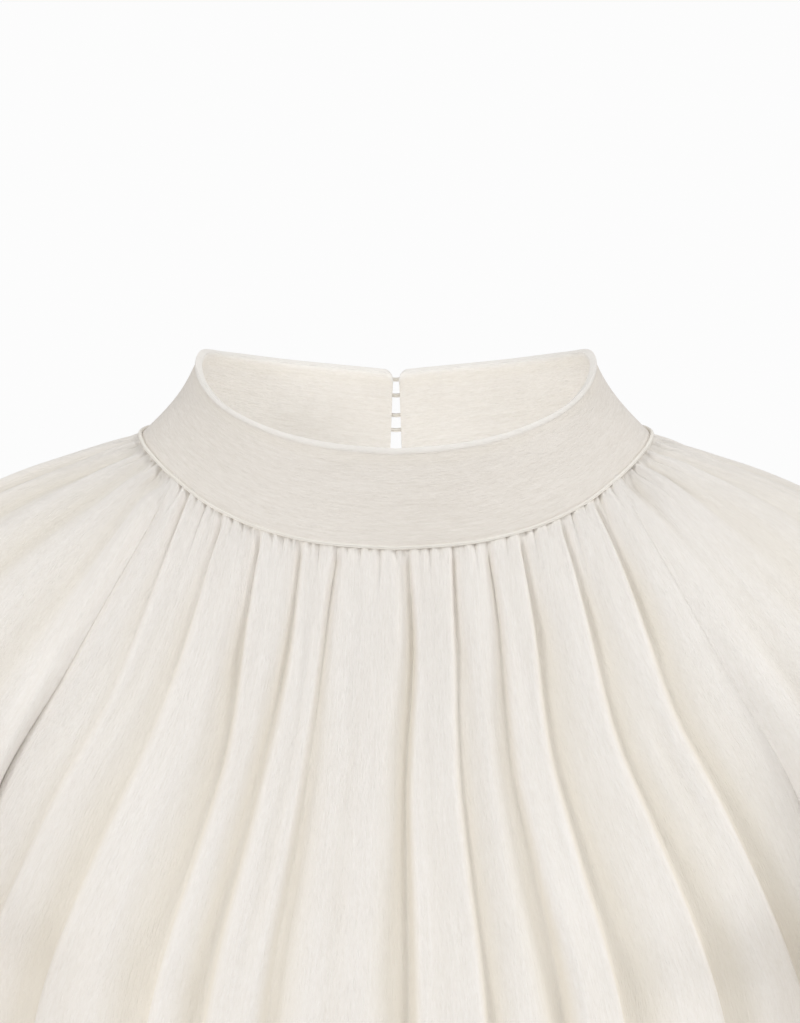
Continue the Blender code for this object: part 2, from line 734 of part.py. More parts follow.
def main():
    clear_scene()
    crepe = material("ivory_crepe", (0.84, 0.80, 0.73), 0.6)
    band = material("ivory_collar_crepe", (0.80, 0.76, 0.68), 0.55)
    cord = material("ivory_cord", (0.82, 0.76, 0.64), 0.6)
    covered = material("ivory_covered_button", (0.80, 0.75, 0.66), 0.5)
    cloth_object("front", [front_rows(DOWNS)], crepe, CLOTH)
    cloth_object("back", back_rows(DOWNS), crepe, CLOTH)
    for side, name in ((-1, "cape_sleeve_a"), (1, "cape_sleeve_b")):
        cloth_object(name, [sleeve_rows(side, DOWNS)], crepe, CLOTH)
    cloth_object("collar", [collar_rows(COLLAR_COLUMNS, COLLAR_RISES)], band, COLLAR_CLOTH)
    build_piping(cord)
    for index, drop in enumerate(LOOP_DROPS, 1):
        build_loop(index, drop, cord)
        build_button(index, drop, covered)


main()
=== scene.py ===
"""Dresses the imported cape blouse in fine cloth: crinkled ivory crepe with its gathers, folds,
creases, seams, hems and stitches.

Sizes are millimetres and the scene is in metres. +Z is up, the front faces -Y, and +X is on the
right of somebody who looks at the front. A turn is an angle round the neck, 0 at the front, 90 on
the +X side and 180 at the back. Every panel runs "down" from 0 at the neck seam to 1 level with the
armpit and 2 at its hem, and "across" or "around" from -1 to 1 between its edges.
"""

import math
from collections import namedtuple
from functools import partial

import bmesh
import bpy
import numpy as np
from mathutils import Matrix, Vector

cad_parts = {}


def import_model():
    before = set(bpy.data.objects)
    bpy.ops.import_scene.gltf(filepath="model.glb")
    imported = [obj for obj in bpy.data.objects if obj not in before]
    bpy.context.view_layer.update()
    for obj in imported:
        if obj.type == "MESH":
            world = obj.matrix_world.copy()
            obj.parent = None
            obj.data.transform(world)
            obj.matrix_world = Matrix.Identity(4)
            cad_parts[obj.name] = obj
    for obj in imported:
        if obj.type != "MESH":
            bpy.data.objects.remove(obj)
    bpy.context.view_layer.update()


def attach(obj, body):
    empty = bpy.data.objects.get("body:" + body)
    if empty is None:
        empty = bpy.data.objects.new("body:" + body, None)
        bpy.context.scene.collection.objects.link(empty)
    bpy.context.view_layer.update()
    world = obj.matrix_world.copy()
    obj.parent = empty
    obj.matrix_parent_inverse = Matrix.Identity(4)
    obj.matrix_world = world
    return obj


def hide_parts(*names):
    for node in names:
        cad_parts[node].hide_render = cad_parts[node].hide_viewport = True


MM = 0.001

# Cloth and seams.
CLOTH = 0.5
COLLAR_CLOTH = 2.6
SEAM_TUCK = 3.0
ARMPIT_GAP = 2.2
PIPING_RADIUS = 0.7
PIPING_OUT = 1.8
PIPING_RISE_FRONT = 0.3
PIPING_RISE_SIDE = 1.0
COLLAR_FOOT = 0.8
CORD_SIDES = 12
CORD_TIP = 0.6

# The neck seam and the collar's rim, at the middle of the wall.
NECK_HALF_WIDTH = 94.0
NECK_FRONT_DEPTH = 78.0
NECK_BACK_DEPTH = 75.0
RIM_HALF_WIDTH = 73.0
RIM_FRONT_DEPTH = 60.0
RIM_BACK_DEPTH = 58.0
COLLAR_HEIGHT = 40.0
COLLAR_HOLLOW = 2.6
COLLAR_HOLLOW_FRONT = 0.4
COLLAR_CORNER = 3.2

# The turns at which the raglan seams meet the neck seam.
FRONT_TURN = 60.0
BACK_TURN = 120.0

# The centre back opening, half of its width.
SLIT_AT_RIM = 1.1
SLIT_AT_SEAM = 2.4
SLIT_WIDEST = 5.0
SLIT_WIDEST_AT = 0.77
SLIT_END = 0.55
SLIT_PULL = 4

# Fastenings: cord loops on one side of the opening, and covered buttons on the other.
LOOP_DROPS = (4.4, 11.4, 20.2, 26.8)
LOOP_CORD = 0.4
LOOP_OPENS = 1.6
LOOP_ROOT = 3.4
LOOP_SLACK = 0.35
STRAND_GAP = 0.02
LOOP_BENDS = 17
CLEAR_OF_COLLAR = 0.3
SHANK_AT = 4.6
SHANK_RADIUS = 0.55
BUTTON_RADIUS = 2.5
BUTTON_DEPTH = 1.8
BUTTON_STAND = 1.9
BUTTON_UNDERSIDE = -60.0
BUTTON_RINGS = 14
BUTTON_SIDES = 48

Level = namedtuple("Level", "turn seam rim")
NECK_LEVELS = (
    Level(0, -34.7, 0.2),
    Level(15, -33.3, 1.5),
    Level(30, -29.2, 4.3),
    Level(45, -22.0, 8.8),
    Level(60, -12.6, 14.2),
    Level(75, -5.0, 20.8),
    Level(90, -0.8, 27.0),
    Level(105, -0.2, 29.8),
    Level(120, -3.4, 27.7),
    Level(150, -12.0, 22.3),
    Level(180, -18.5, 17.8),
)

Section = namedtuple("Section", "down crown_x crown_z inner_x inner_z sweep half_depth")
SLEEVE = (
    Section(0.00, 94, -0.8, 81.4, -12.6, 30, 78),
    Section(0.15, 118, -7.8, 92, -30, 52, 72),
    Section(0.30, 142, -15.6, 105, -51, 70, 72),
    Section(0.50, 180, -33.5, 124, -84, 95, 75),
    Section(0.70, 217, -61.0, 144, -118, 120, 78),
    Section(0.85, 248, -97.0, 160, -158, 145, 80),
    Section(1.00, 281, -150.0, 172, -195, 179.8, 84),
    Section(1.33, 316, -224.0, 198, -262, 179.85, 95),
    Section(1.66, 350, -296.0, 224, -330, 179.87, 106),
    Section(2.00, 382, -366.0, 250, -398, 179.88, 118),
)

# The middle line of the front and of the back, and how round the panels are.
Middle = namedtuple("Middle", "down bend swell front_y front_z back_y back_z")
MIDDLES = (
    Middle(0.00, 60, 0.0, -78, -34.7, 75, -18.5),
    Middle(0.15, 60, 0.02, -86, -58, 84, -42),
    Middle(0.30, 62, 0.02, -93, -83, 91, -68),
    Middle(0.50, 66, 0.03, -103, -118, 99, -105),
    Middle(0.70, 72, 0.06, -115, -155, 105, -145),
    Middle(0.85, 80, 0.1, -124, -185, 108, -180),
    Middle(1.00, 89, 0.13, -131, -218, 110, -215),
    Middle(1.33, 89, 0.15, -140, -350, 117, -350),
    Middle(1.66, 89, 0.16, -150, -485, 127, -487),
    Middle(2.00, 89, 0.165, -160, -622, 138, -625),
)

Side = namedtuple("Side", "down x z")
SIDE_SEAM = (Side(1.0, 172, -195), Side(1.5, 220, -398), Side(2.0, 268, -602))

# How long folds deepen and widen from the neck seam to chest height and on to the hem.
UPPER_CHEST = 0.2
CHEST = 0.55
FOLD_AT_NECK = 3.4
FOLD_AT_CORD = 0.35
CORD_REACH = 0.05
FOLD_NECK_SHARE = 0.46
FOLD_DEEP_AT = 0.3
FOLD_HEM_GROWTH = 1.9
FOLD_RUN_OUT = 0.4
FOLD_LIP = 0.06
LIP_AT = 2.0
LIP_WIDTH = 0.8
CRISP_POWER = 2.4
SOFT_POWER = 1.7
TO_THE_HEM = 2.2

# Each long fold: where it lies at the neck seam, a fifth of the way down and at chest height, how
# far down it runs, and its depth and its two half widths at chest height.
Fold = namedtuple("Fold", "top mid low end depth left right")
FRONT_FOLDS = (
    Fold(-0.90, -0.885, -0.86, 1.5, 2.4, 5.0, 2.2),
    Fold(-0.71, -0.72, -0.715, TO_THE_HEM, 3.6, 7.5, 2.6),
    Fold(-0.535, -0.54, -0.50, TO_THE_HEM, 4.4, 7.5, 2.6),
    Fold(-0.365, -0.375, -0.395, TO_THE_HEM, 4.6, 4.6, 3.2),
    Fold(-0.22, -0.25, -0.255, TO_THE_HEM, 3.8, 2.3, 5.5),
    Fold(0.045, 0.06, 0.025, TO_THE_HEM, 5.6, 7.0, 2.4),
    Fold(0.215, 0.215, 0.19, TO_THE_HEM, 3.6, 2.1, 4.8),
    Fold(0.352, 0.37, 0.335, TO_THE_HEM, 4.8, 6.0, 2.4),
    Fold(0.485, 0.50, 0.46, TO_THE_HEM, 4.9, 2.4, 7.5),
    Fold(0.67, 0.685, 0.65, TO_THE_HEM, 4.4, 2.4, 7.0),
    Fold(0.845, 0.865, 0.825, TO_THE_HEM, 4.4, 2.6, 8.5),
)

# Short gathers under the neck seam: place, how far down each runs, and depth.
Gather = namedtuple("Gather", "top end depth")
FRONT_GATHERS = (
    Gather(-0.95, 0.14, 1.5),
    Gather(-0.85, 0.08, 1.1),
    Gather(-0.80, 0.20, 1.5),
    Gather(-0.66, 0.07, 1.1),
    Gather(-0.61, 0.08, 1.3),
    Gather(-0.575, 0.07, 0.9),
    Gather(-0.48, 0.08, 1.1),
    Gather(-0.435, 0.10, 1.4),
    Gather(-0.40, 0.07, 0.9),
    Gather(-0.325, 0.07, 0.9),
    Gather(-0.292, 0.12, 1.5),
    Gather(-0.18, 0.07, 1.0),
    Gather(-0.135, 0.07, 1.2),
    Gather(-0.06, 0.14, 1.5),
    Gather(0.0, 0.07, 1.0),
    Gather(0.09, 0.08, 0.9),
    Gather(0.126, 0.10, 1.4),
    Gather(0.165, 0.07, 0.9),
    Gather(0.255, 0.07, 0.9),
    Gather(0.30, 0.09, 1.4),
    Gather(0.425, 0.08, 1.1),
    Gather(0.545, 0.12, 1.4),
    Gather(0.60, 0.07, 1.0),
    Gather(0.723, 0.26, 1.6),
    Gather(0.79, 0.08, 1.1),
    Gather(0.88, 0.12, 1.5),
    Gather(0.95, 0.10, 1.4),
)
GATHER_WIDTH = 0.9

# Folds and gathers of the back and the sleeves: every third tuck is a fold that runs to the hem.
TUCKS_A_FOLD = 3
BACK_TUCKS = 34
BACK_TUCK_START = 0.4
BACK_FOLD_DEPTH = 5.0
BACK_FOLD_WIDTH = 8.0
SLEEVE_TUCKS = 21
SLEEVE_TUCK_STARTS = {1: 1.9, -1: 3.1}
SLEEVE_FOLD_DEPTH = 3.2
SLEEVE_FOLD_WIDTH = 10.0
PLAIN_GATHER_END = 0.11
PLAIN_GATHER_DEPTH = 1.3
PLACE_UNEVEN = 0.16
PLACE_TURN = 2.3
SIZE_UNEVEN = 0.3
SIZE_TURN = 1.7
STEADINESS = 15

# Folds die out beside a seam, and the gathered cloth puffs out under the neck seam.
EDGE_AT_NECK = 4.0
EDGE_GROWTH = 36.0
PUFF = 2.0
SLEEVE_PUFF = 0.9
EDGE_PUFF = 1.4
PUFF_AT = 0.1

# The soft roll of the sleeve along the front raglan seam, from below the neck to the armpit: crisp
# on the -X side and soft on the +X side.
Roll = namedtuple("Roll", "height inside width")
ROLLS = {-1: Roll(4.2, 5.5, 4.2), 1: Roll(2.4, 13.0, 9.0)}
ROLL_FROM = 0.02
ROLL_RISE = 0.12
ROLL_FALL = 0.3

# The sleeve's edges stay smooth at the armpit, where the side seam starts.
SMOOTH_FROM = 0.75
SMOOTH_TO = 1.05
FOLDED_FROM = 0.95
FOLDED_TO = 1.45
ARMPIT_FROM = 0.97
ARMPIT_RISE = 0.06

# The lesser creases: place at the neck seam and at chest height, the downs between which each
# runs, its depth, which is negative on a ridge, and its half width.
Crease = namedtuple("Crease", "top low start end depth width")
FRONT_CREASES = (
    Crease(-0.93, -0.93, 0.10, 0.9, 1.2, 5.0),
    Crease(-0.78, -0.82, 0.06, 0.7, 1.4, 4.0),
    Crease(-0.62, -0.62, 0.04, 0.8, -1.2, 6.0),
    Crease(-0.57, -0.56, 0.20, 1.1, 0.9, 5.0),
    Crease(-0.42, -0.42, 0.05, 0.5, 0.8, 3.5),
    Crease(-0.30, -0.31, 0.10, 1.0, 0.9, 4.0),
    Crease(-0.12, -0.13, 0.06, 1.3, 1.0, 6.0),
    Crease(-0.04, -0.03, 0.05, 0.9, -0.8, 5.0),
    Crease(0.10, 0.10, 0.04, 1.1, 0.7, 4.0),
    Crease(0.25, 0.24, 0.12, 0.9, 0.8, 3.0),
    Crease(0.38, 0.37, 0.08, 1.2, -1.1, 7.0),
    Crease(0.56, 0.55, 0.10, 0.8, 1.2, 4.5),
    Crease(0.73, 0.74, 0.05, 0.9, 1.3, 4.0),
    Crease(0.90, 0.92, 0.08, 1.0, 1.1, 5.0),
)
SLEEVE_CREASES = {
    -1: (
        Crease(0.14, 0.10, 0.04, 0.8, 1.6, 7.0),
        Crease(0.36, 0.30, 0.03, 0.9, 1.3, 6.0),
        Crease(0.62, 0.55, 0.05, 1.0, 1.2, 6.0),
        Crease(-0.25, -0.22, 0.04, 0.9, 1.4, 7.0),
        Crease(-0.60, -0.55, 0.04, 1.1, 1.4, 7.0),
    ),
    1: (
        Crease(0.80, 0.66, 0.04, 1.2, 1.8, 6.0),
        Crease(0.45, 0.36, 0.05, 0.9, 1.2, 6.0),
        Crease(0.15, 0.12, 0.05, 0.9, 1.2, 7.0),
        Crease(-0.30, -0.25, 0.04, 1.0, 1.4, 7.0),
        Crease(-0.62, -0.60, 0.04, 0.9, 1.4, 7.0),
    ),
}
CREASE_RISE = 0.15
CREASE_FALL = 0.3

# The back's creases take these values in turn.
BACK_CREASES = 16
BACK_START = 2.7
BACK_UNEVEN = 0.3
BACK_SPREAD = 1.02
BACK_STARTS = (0.06, 0.11, 0.16)
BACK_ENDS = (0.7, 0.95, 1.2, 1.45)
BACK_CREASE_DEPTHS = (1.2, -0.9, 0.8, 1.4)
BACK_CREASE_WIDTHS = (4.0, 6.0, 5.0)

# Tiny puckers in the neck seam, and the cloth's slight unevenness between its folds.
PUCKER_PITCH = 2.3
PUCKER_DEPTH = 0.5
PUCKER_WIDTH = 0.7
PUCKER_END = 0.028
PUCKER_UNEVEN = 0.45
PUCKER_LENGTH_SWING = 0.75
PUCKER_LENGTH_TURN = 2.9
PUCKER_DEPTH_SWING = 0.8
PUCKER_DEPTH_TURN = 1.9
FRONT_PUCKERS = 0.5
BACK_PUCKERS = 1.7
SLEEVE_PUCKERS = 1.3
Wave = namedtuple("Wave", "across share sway turns")
RIPPLES = (Wave(43, 1.0, 1.1, 2.3), Wave(71, 0.8, 1.3, 1.7), Wave(113, 0.6, 0.9, 3.1))
RIPPLE = 0.16
RIPPLE_FROM = 0.05
SLEEVE_RIPPLES = 2.1

# The cloth at the neck seam and the raglan seams, the collar's rim and waves, and the hems.
NECK_STAND = 1.25
NECK_STAND_DOWN = 0.02
SEAM_DIP_WIDTH = 1.2
SEAM_DIP_FROM = 0.12
LEFT_DIP = 0.8
BACK_DIP = 0.2
FRONT_DIPS = (LEFT_DIP, 0.0)
BACK_DIPS = (BACK_DIP, BACK_DIP)
SLEEVE_DIPS = {-1: (BACK_DIP, LEFT_DIP), 1: (BACK_DIP, 0.0)}
# The depth in a fold at which its painted shade is full.
PAINTED_SHADE_DEPTH = 4.0
RIM_RIDGE = 0.7
RIM_RIDGE_AT = 0.3
RIM_RIDGE_WIDTH = 1.6
RIM_ROUND = 1.25
RIM_SEGMENTS = 3
RIM_SHARPEST = 60
# The collar's rim: a painted highlight along its rolled edge and a painted shadow just below it.
RIM_HIGHLIGHT_WIDTH = 2.0
RIM_HIGHLIGHT_POWER = 4
RIM_SHADE = 0.3
RIM_SHADE_AT = 4.5
RIM_SHADE_WIDTH = 2.5
BandWave = namedtuple("BandWave", "around share climb")
BAND_WAVES = (BandWave(5.3, 1.0, 2.2), BandWave(8.9, 0.7, -3.1))
COLLAR_WAVE = 0.22
HEM_DEPTH = 14.0
HEM_STEP = 0.35
HEM_SOFT = 1.5
BODY_REACH = 400
SLEEVE_REACH = 250

# Grids. Rows lie closer under the neck seam, and again at the hem, and columns crowd at folds.
FRONT_COLUMNS = 600
BACK_COLUMNS = 560
SLEEVE_COLUMNS = 420
COLLAR_COLUMNS = 460
COLLAR_CROWDING = 1.15
COLLAR_RISES = np.interp(range(30), (0, 20, 29), (0, 0.9, 1))
PIPING_STEPS = 420
CROWDING = 2.0
CROWD_WIDTH = 0.03
SEAM_NEAR = 0.9997
Row = namedtuple("Row", "number down")
ROWS = (Row(0, 0.0), Row(11, 0.05), Row(27, 0.25), Row(53, 1.0), Row(71, 1.9), Row(78, 2.0))
DOWNS = np.interp(range(ROWS[-1].number + 1), *zip(*ROWS))

# Half of the width of each flat piece that the crepe's streaks are laid out on.
CUT_HALF = 170.0
SLEEVE_CUT_HALF = 130.0
COLLAR_HALF = 265.0

# How surfaces bend and how finely they are measured.
ROUND_POWER = 7
ROW_SAMPLES = 41
CROWD_SAMPLES = 4001
STEP = 0.004
WELD = 0.00001
NECK_FADE = 0.5

# A cloth's colors, the height of its crinkles in millimetres, and its roughness.
Finish = namedtuple("Finish", "light dark depth roughness")
BODY = Finish((0.962, 0.93, 0.892, 1), (0.885, 0.842, 0.788, 1), 0.36, 0.6)
# The collar's crepe is the body's cloth painted darker all over, as painted shade.
BAND = Finish((0.868, 0.826, 0.774, 1), (0.762, 0.712, 0.65, 1), 0.32, 0.55)
CORD = Finish((0.93, 0.90, 0.845, 1), (0.84, 0.795, 0.72, 1), 0.16, 0.6)
COVERED = Finish((0.87, 0.83, 0.775, 1), (0.80, 0.755, 0.69, 1), 0.08, 0.5)
THREAD = Finish((0.88, 0.84, 0.775, 1), (0.82, 0.775, 0.70, 1), 0.05, 0.5)
# Painted shade: deep in folds and just under the collar's rim the crepe is painted warmer and
# darker.
PAINTED_SHADE_COLOR = (0.845, 0.785, 0.675, 1)
PAINTED_SHADE_SHARE = 0.62
# The painted highlight along the collar's rim.
RIM_HIGHLIGHT_COLOR = (0.96, 0.95, 0.925, 1)
RIM_HIGHLIGHT_SHARE = 0.5

# The noises in the crepe: cycles a millimetre across its threads and along them, detail and
# roughness, and shares of the height and of the tone.
Streak = namedtuple("Streak", "across along detail rough height tone")
STREAKS = (
    Streak(1.15, 0.13, 3.0, 0.6, 1.0, 0.55),
    Streak(3.0, 0.36, 2.0, 0.65, 0.8, 0.5),
    Streak(0.9, 0.03, 1.0, 0.5, 0.3, 0.25),
    Streak(0.03, 0.012, 2.0, 0.5, 0.0, 0.4),
)
TONE_FROM = 0.62
TONE_TO = 1.05
SHINE = {"Specular IOR Level": 0.25, "Sheen Weight": 0.12, "Sheen Roughness": 0.4}

# Camera, lights and floor, in metres and degrees. A lamp's turn is counted like one of the neck's.
SENSOR = 36.0
VIEW_HEIGHT = 0.3785
CAMERA_AWAY = 5.0
CAMERA_ELEVATION = 6.0
CAMERA_REACH = 1000
AIM = (0.0015, -0.06, -0.0229)
FLOOR_Z = -0.68
FLOOR_RADIUS = 2.4
FLOOR_SIDES = 96
FLOOR_CLOUDS = ((0.8, 0.8), 2.0, 0.5)
FLOOR_TONES = (0.955, 0.975)
FLOOR_ROUGHNESS = 0.9
AMBIENT = 0.45
BACKDROP = 0.975
Lamp = namedtuple("Lamp", "name turn height size power")
LAMPS = (
    Lamp("left", -41, 19, 1.0, 27.0),
    Lamp("left_side", -85, 15, 1.0, 14.0),
    Lamp("right", 47, 26, 1.0, 14.0),
    Lamp("right_high", 60, 55, 1.0, 17.0),
    Lamp("right_side", 85, 15, 1.0, 19.0),
    Lamp("back", 180, 50, 1.2, 12.0),
)
LAMP_AWAY = 3.2
LAMP_COLOR = (1.0, 0.99, 0.975)
LAMP_AIM = (0.0, 0.0, -0.08)
NECK_LAMP_PLACE = (0.0, -0.03, -0.09)
NECK_LAMP_AIM = (0.0, 0.05, 0.0)
NECK_LAMP_SPREAD = 140.0
NECK_LAMP_SIZE = 0.12
NECK_LAMP_POWER = 0.085
NECK_LAMP_COLOR = (0.96, 0.985, 1.0)

# Stitches along the hems, each a spindle with two ends, 0 and 1, and four corners round its middle.
STITCH_PITCH = 3.0
STITCH_LENGTH = 2.2
STITCH_HALF = 0.22
STITCH_SAMPLES = 1601
MIDDLE_SIDES = ((2, 3), (3, 4), (4, 5), (5, 2))
SPINDLE = (
    *((0, low, high) for low, high in MIDDLE_SIDES),
    *((1, high, low) for low, high in MIDDLE_SIDES),
)

# Each sheet's flat size and the area that was cut from it, in metres and square metres.
Sheet = namedtuple("Sheet", "flat area")
FRONT_SHEET = Sheet((0.70, 0.66), 0.32)
BACK_SHEET = Sheet((0.66, 0.66), 0.30)
SLEEVE_SHEET = Sheet((0.60, 0.50), 0.18)


def cubic(keys, values, at):
    """A smooth curve through the values at the keys, which never swings past them."""
    keys = np.asarray(keys, float)
    values = np.asarray(values, float)
    steps = np.diff(keys)
    secants = np.diff(values) / steps
    product = secants[1:] * secants[:-1]
    total = np.where(product > 0, secants[1:] + secants[:-1], 1)
    middle = np.where(product > 0, 2 * product / total, 0)
    slopes = np.concatenate([secants[:1], middle, secants[-1:]])
    at = np.asarray(at, float)
    low = np.clip(np.searchsorted(keys, at) - 1, 0, len(keys) - 2)
    part = (at - keys[low]) / steps[low]
    rise = values[low + 1] - values[low]
    first = steps[low] * slopes[low]
    last = steps[low] * slopes[low + 1]
    bow = 3 * rise - 2 * first - last
    return values[low] + part * (first + part * (bow + part * (first + last - 2 * rise)))


def read(rows, column, at):
    """One column of a table, read smoothly at a place down its first column."""
    return cubic([row[0] for row in rows], [getattr(row, column) for row in rows], at)


def smooth_step(value):
    part = np.clip(value, 0, 1)
    return part * part * (3 - 2 * part)


def blend(first, last, share):
    return first + (last - first) * share


def hump(offset, width):
    """A rounded hump, 1 at its middle."""
    return np.exp(-((offset / width) ** 2))


def unit(vectors):
    return vectors / np.linalg.norm(vectors, axis=-1, keepdims=True)


def level_out(points):
    """The level way out of the neck at these points."""
    return unit(points * np.array([1, 1, 0]))


def run_along(points):
    """The length along a line of points, at each of them."""
    return np.concatenate([[0], np.linalg.norm(np.diff(points, axis=0), axis=1).cumsum()])


def ring(turn, half_width, front_depth, back_depth, column):
    """Points round the neck at these turns, in degrees, at the heights of one column."""
    angle = np.radians(turn)
    depth = np.where(np.cos(angle) > 0, front_depth, back_depth)
    height = read(NECK_LEVELS, column, np.abs(turn))
    return np.stack([half_width * np.sin(angle), -depth * np.cos(angle), height], -1)


def neck_seam(turn):
    return ring(turn, NECK_HALF_WIDTH, NECK_FRONT_DEPTH, NECK_BACK_DEPTH, "seam")


def collar_rim(turn):
    return ring(turn, RIM_HALF_WIDTH, RIM_FRONT_DEPTH, RIM_BACK_DEPTH, "rim")


def collar_wall(turn, rise):
    """The collar from its seam, rise 0, to its rim, rise 1, hollowed between the two."""
    foot = neck_seam(turn)
    side = np.abs(np.sin(np.radians(turn)))
    share = blend(COLLAR_HOLLOW_FRONT, 1, side)
    depth = COLLAR_HOLLOW * share * np.sin(math.pi * rise)
    point = blend(foot, collar_rim(turn), np.expand_dims(rise, -1))
    return point - level_out(foot) * np.expand_dims(depth, -1)


def neck_fade(down):
    return max(0.0, 1 - down / NECK_FADE) ** 2


def sleeve_section(around, down):
    """One section of the +X sleeve, from its back edge to its front edge, over the shoulder."""
    at = Section(down, *(read(SLEEVE, name, down) for name in Section._fields[1:]))
    sweep = np.radians(at.sweep)
    part = (1 - np.cos(sweep * around)) / (1 - np.cos(sweep))
    x = blend(at.crown_x, at.inner_x, part)
    z = blend(at.crown_z, at.inner_z, part)
    return np.stack([x, -at.half_depth * np.sin(sweep * around), z], -1)


def sleeve_surface(around, down):
    """The sleeve's smooth surface, drawn onto the neck seam at its top."""
    middle_turn = (FRONT_TURN + BACK_TURN) / 2
    seam = neck_seam(middle_turn - (BACK_TURN - FRONT_TURN) / 2 * around)
    pull = seam - sleeve_section(around, 0.0)
    return sleeve_section(around, down) + pull * neck_fade(down)


def panel_edge(face, down):
    """The +X edge of the front or the back: raglan seam, then side seam."""
    if down <= 1:
        return sleeve_surface(np.array([1.0 if face == "front" else -1.0]), down)[0]
    return np.array([read(SIDE_SEAM, "x", down), 0.0, read(SIDE_SEAM, "z", down)])


def body_section(face, across, down):
    edge = panel_edge(face, down)
    bend = np.radians(read(MIDDLES, "bend", down))
    swell = read(MIDDLES, "swell", down)
    part = (1 - np.cos(bend * across)) / (1 - np.cos(bend))
    spread = across + swell * (across - across**ROUND_POWER)
    y = blend(read(MIDDLES, f"{face}_y", down), edge[1], part)
    z = blend(read(MIDDLES, f"{face}_z", down), edge[2], part)
    return np.stack([edge[0] * spread, y, z], -1)


def front_surface(across, down):
    """The front's smooth surface, drawn onto the neck seam at its top."""
    pull = neck_seam(FRONT_TURN * across) - body_section("front", across, 0.0)
    return body_section("front", across, down) + pull * neck_fade(down)


def back_surface(across, down):
    """The back's smooth surface. Turns past 180 are the -X side."""
    reach = (180 - BACK_TURN) * across
    turn = np.where(across >= 0, 180 - reach, -180 - reach)
    pull = neck_seam(turn) - body_section("back", across, 0.0)
    return body_section("back", across, down) + pull * neck_fade(down)


def row_length(surface, down):
    """Half of the length of a surface's row, in millimetres."""
    points = surface(np.linspace(-1, 1, ROW_SAMPLES), down)
    return np.linalg.norm(np.diff(points, axis=0), axis=1).sum() / 2


def valley(distance, left, right):
    """A smooth trough, 1 at its middle, with its own width on each side and a crisp narrow side."""
    width = np.where(distance < 0, left, right)
    power = np.where((distance < 0) == (left < right), CRISP_POWER, SOFT_POWER)
    return np.exp(-(np.abs(distance / width) ** power))


def fold_place(fold, down):
    return cubic((0, UPPER_CHEST, CHEST, 2), (fold.top, fold.mid, fold.low, fold.low), down)


def fold_lift(folds, across, down, half_row):
    """How far long folds sink the surface along one row, with a low lip beside each."""
    lift = np.zeros_like(across)
    grow = 1 + FOLD_HEM_GROWTH * max(0.0, down - CHEST) / (2 - CHEST)
    share = blend(FOLD_NECK_SHARE, 1, smooth_step(down / CHEST)) * grow
    for fold in folds:
        depth = blend(FOLD_AT_NECK, fold.depth, smooth_step(down / FOLD_DEEP_AT))
        depth *= blend(FOLD_AT_CORD, 1, smooth_step(down / CORD_REACH))
        depth *= grow * smooth_step((fold.end - down) / FOLD_RUN_OUT)
        left, right = fold.left * share, fold.right * share
        offset = (across - fold_place(fold, down)) * half_row
        lift -= depth * valley(offset, left, right)
        lip = np.abs(offset) / np.where(offset < 0, left, right) - LIP_AT
        lift += FOLD_LIP * depth * hump(lip, LIP_WIDTH)
    return lift


def gather_lift(gathers, across, down, half_row):
    """How far short gathers sink the surface along one row."""
    lift = np.zeros_like(across)
    for gather in gathers:
        depth = gather.depth * smooth_step(1 - down / gather.end)
        lift -= depth * valley((across - gather.top) * half_row, GATHER_WIDTH, GATHER_WIDTH)
    return lift


def puffed(height, fade, down):
    """The gathered cloth stands out just under the seam, then settles. Where the fade is 0, at the
    panel's edges, it stands out as far as the panel beside it."""
    return blend(EDGE_PUFF, height, fade) * down / PUFF_AT * math.exp(1 - down / PUFF_AT)


def scattered(count, start, uneven):
    """Places from -1 to 1, evenly many but unevenly spaced, the same on every run."""
    pitch = 2 / count
    return [
        -1 + pitch * (index + 0.5 + uneven * math.sin(start + PLACE_TURN * index * index))
        for index in range(count)
    ]


def plain_tucks(count, start, depth, width):
    """Long folds with shorter gathers between them, each a little unlike the next."""
    folds, gathers = [], []
    for index, place in enumerate(scattered(count, start, PLACE_UNEVEN)):
        swing = SIZE_UNEVEN * math.sin(start + SIZE_TURN * index)
        if index % TUCKS_A_FOLD != TUCKS_A_FOLD // 2:
            gathers.append(Gather(place, PLAIN_GATHER_END * (1 + swing), PLAIN_GATHER_DEPTH))
            continue
        low = place * (1 + swing / STEADINESS)
        sizes = (depth * (1 + swing), width * (1 - swing), width * (1 + swing))
        folds.append(Fold(place, place, low, TO_THE_HEM, *sizes))
    return folds, gathers


def crease_lift(creases, across, down, half_row):
    """How far the lesser creases sink the surface along one row."""
    lift = np.zeros_like(across)
    for crease in creases:
        place = blend(crease.top, crease.low, min(1.0, down / CHEST))
        run = smooth_step((down - crease.start) / CREASE_RISE)
        run *= smooth_step((crease.end - down) / CREASE_FALL)
        offset = (across - place) * half_row
        lift -= crease.depth * run * hump(offset, crease.width)
    return lift


def pucker_lift(start, across, down, half_row):
    """Tiny puckers side by side under the seam, each with its own place, depth and length."""
    lift = np.zeros_like(across)
    if down > 2 * PUCKER_END:
        return lift
    count = int(2 * half_row / PUCKER_PITCH)
    for index, place in enumerate(scattered(count, start, PUCKER_UNEVEN)):
        swing = math.sin(start + PUCKER_LENGTH_TURN * index * index)
        end = PUCKER_END * (1 + PUCKER_LENGTH_SWING * swing)
        swing = math.sin(start + PUCKER_DEPTH_TURN * index)
        depth = PUCKER_DEPTH * (1 + PUCKER_DEPTH_SWING * swing) * smooth_step(1 - down / end)
        lift -= depth * hump((across - place) * half_row, PUCKER_WIDTH)
    return lift


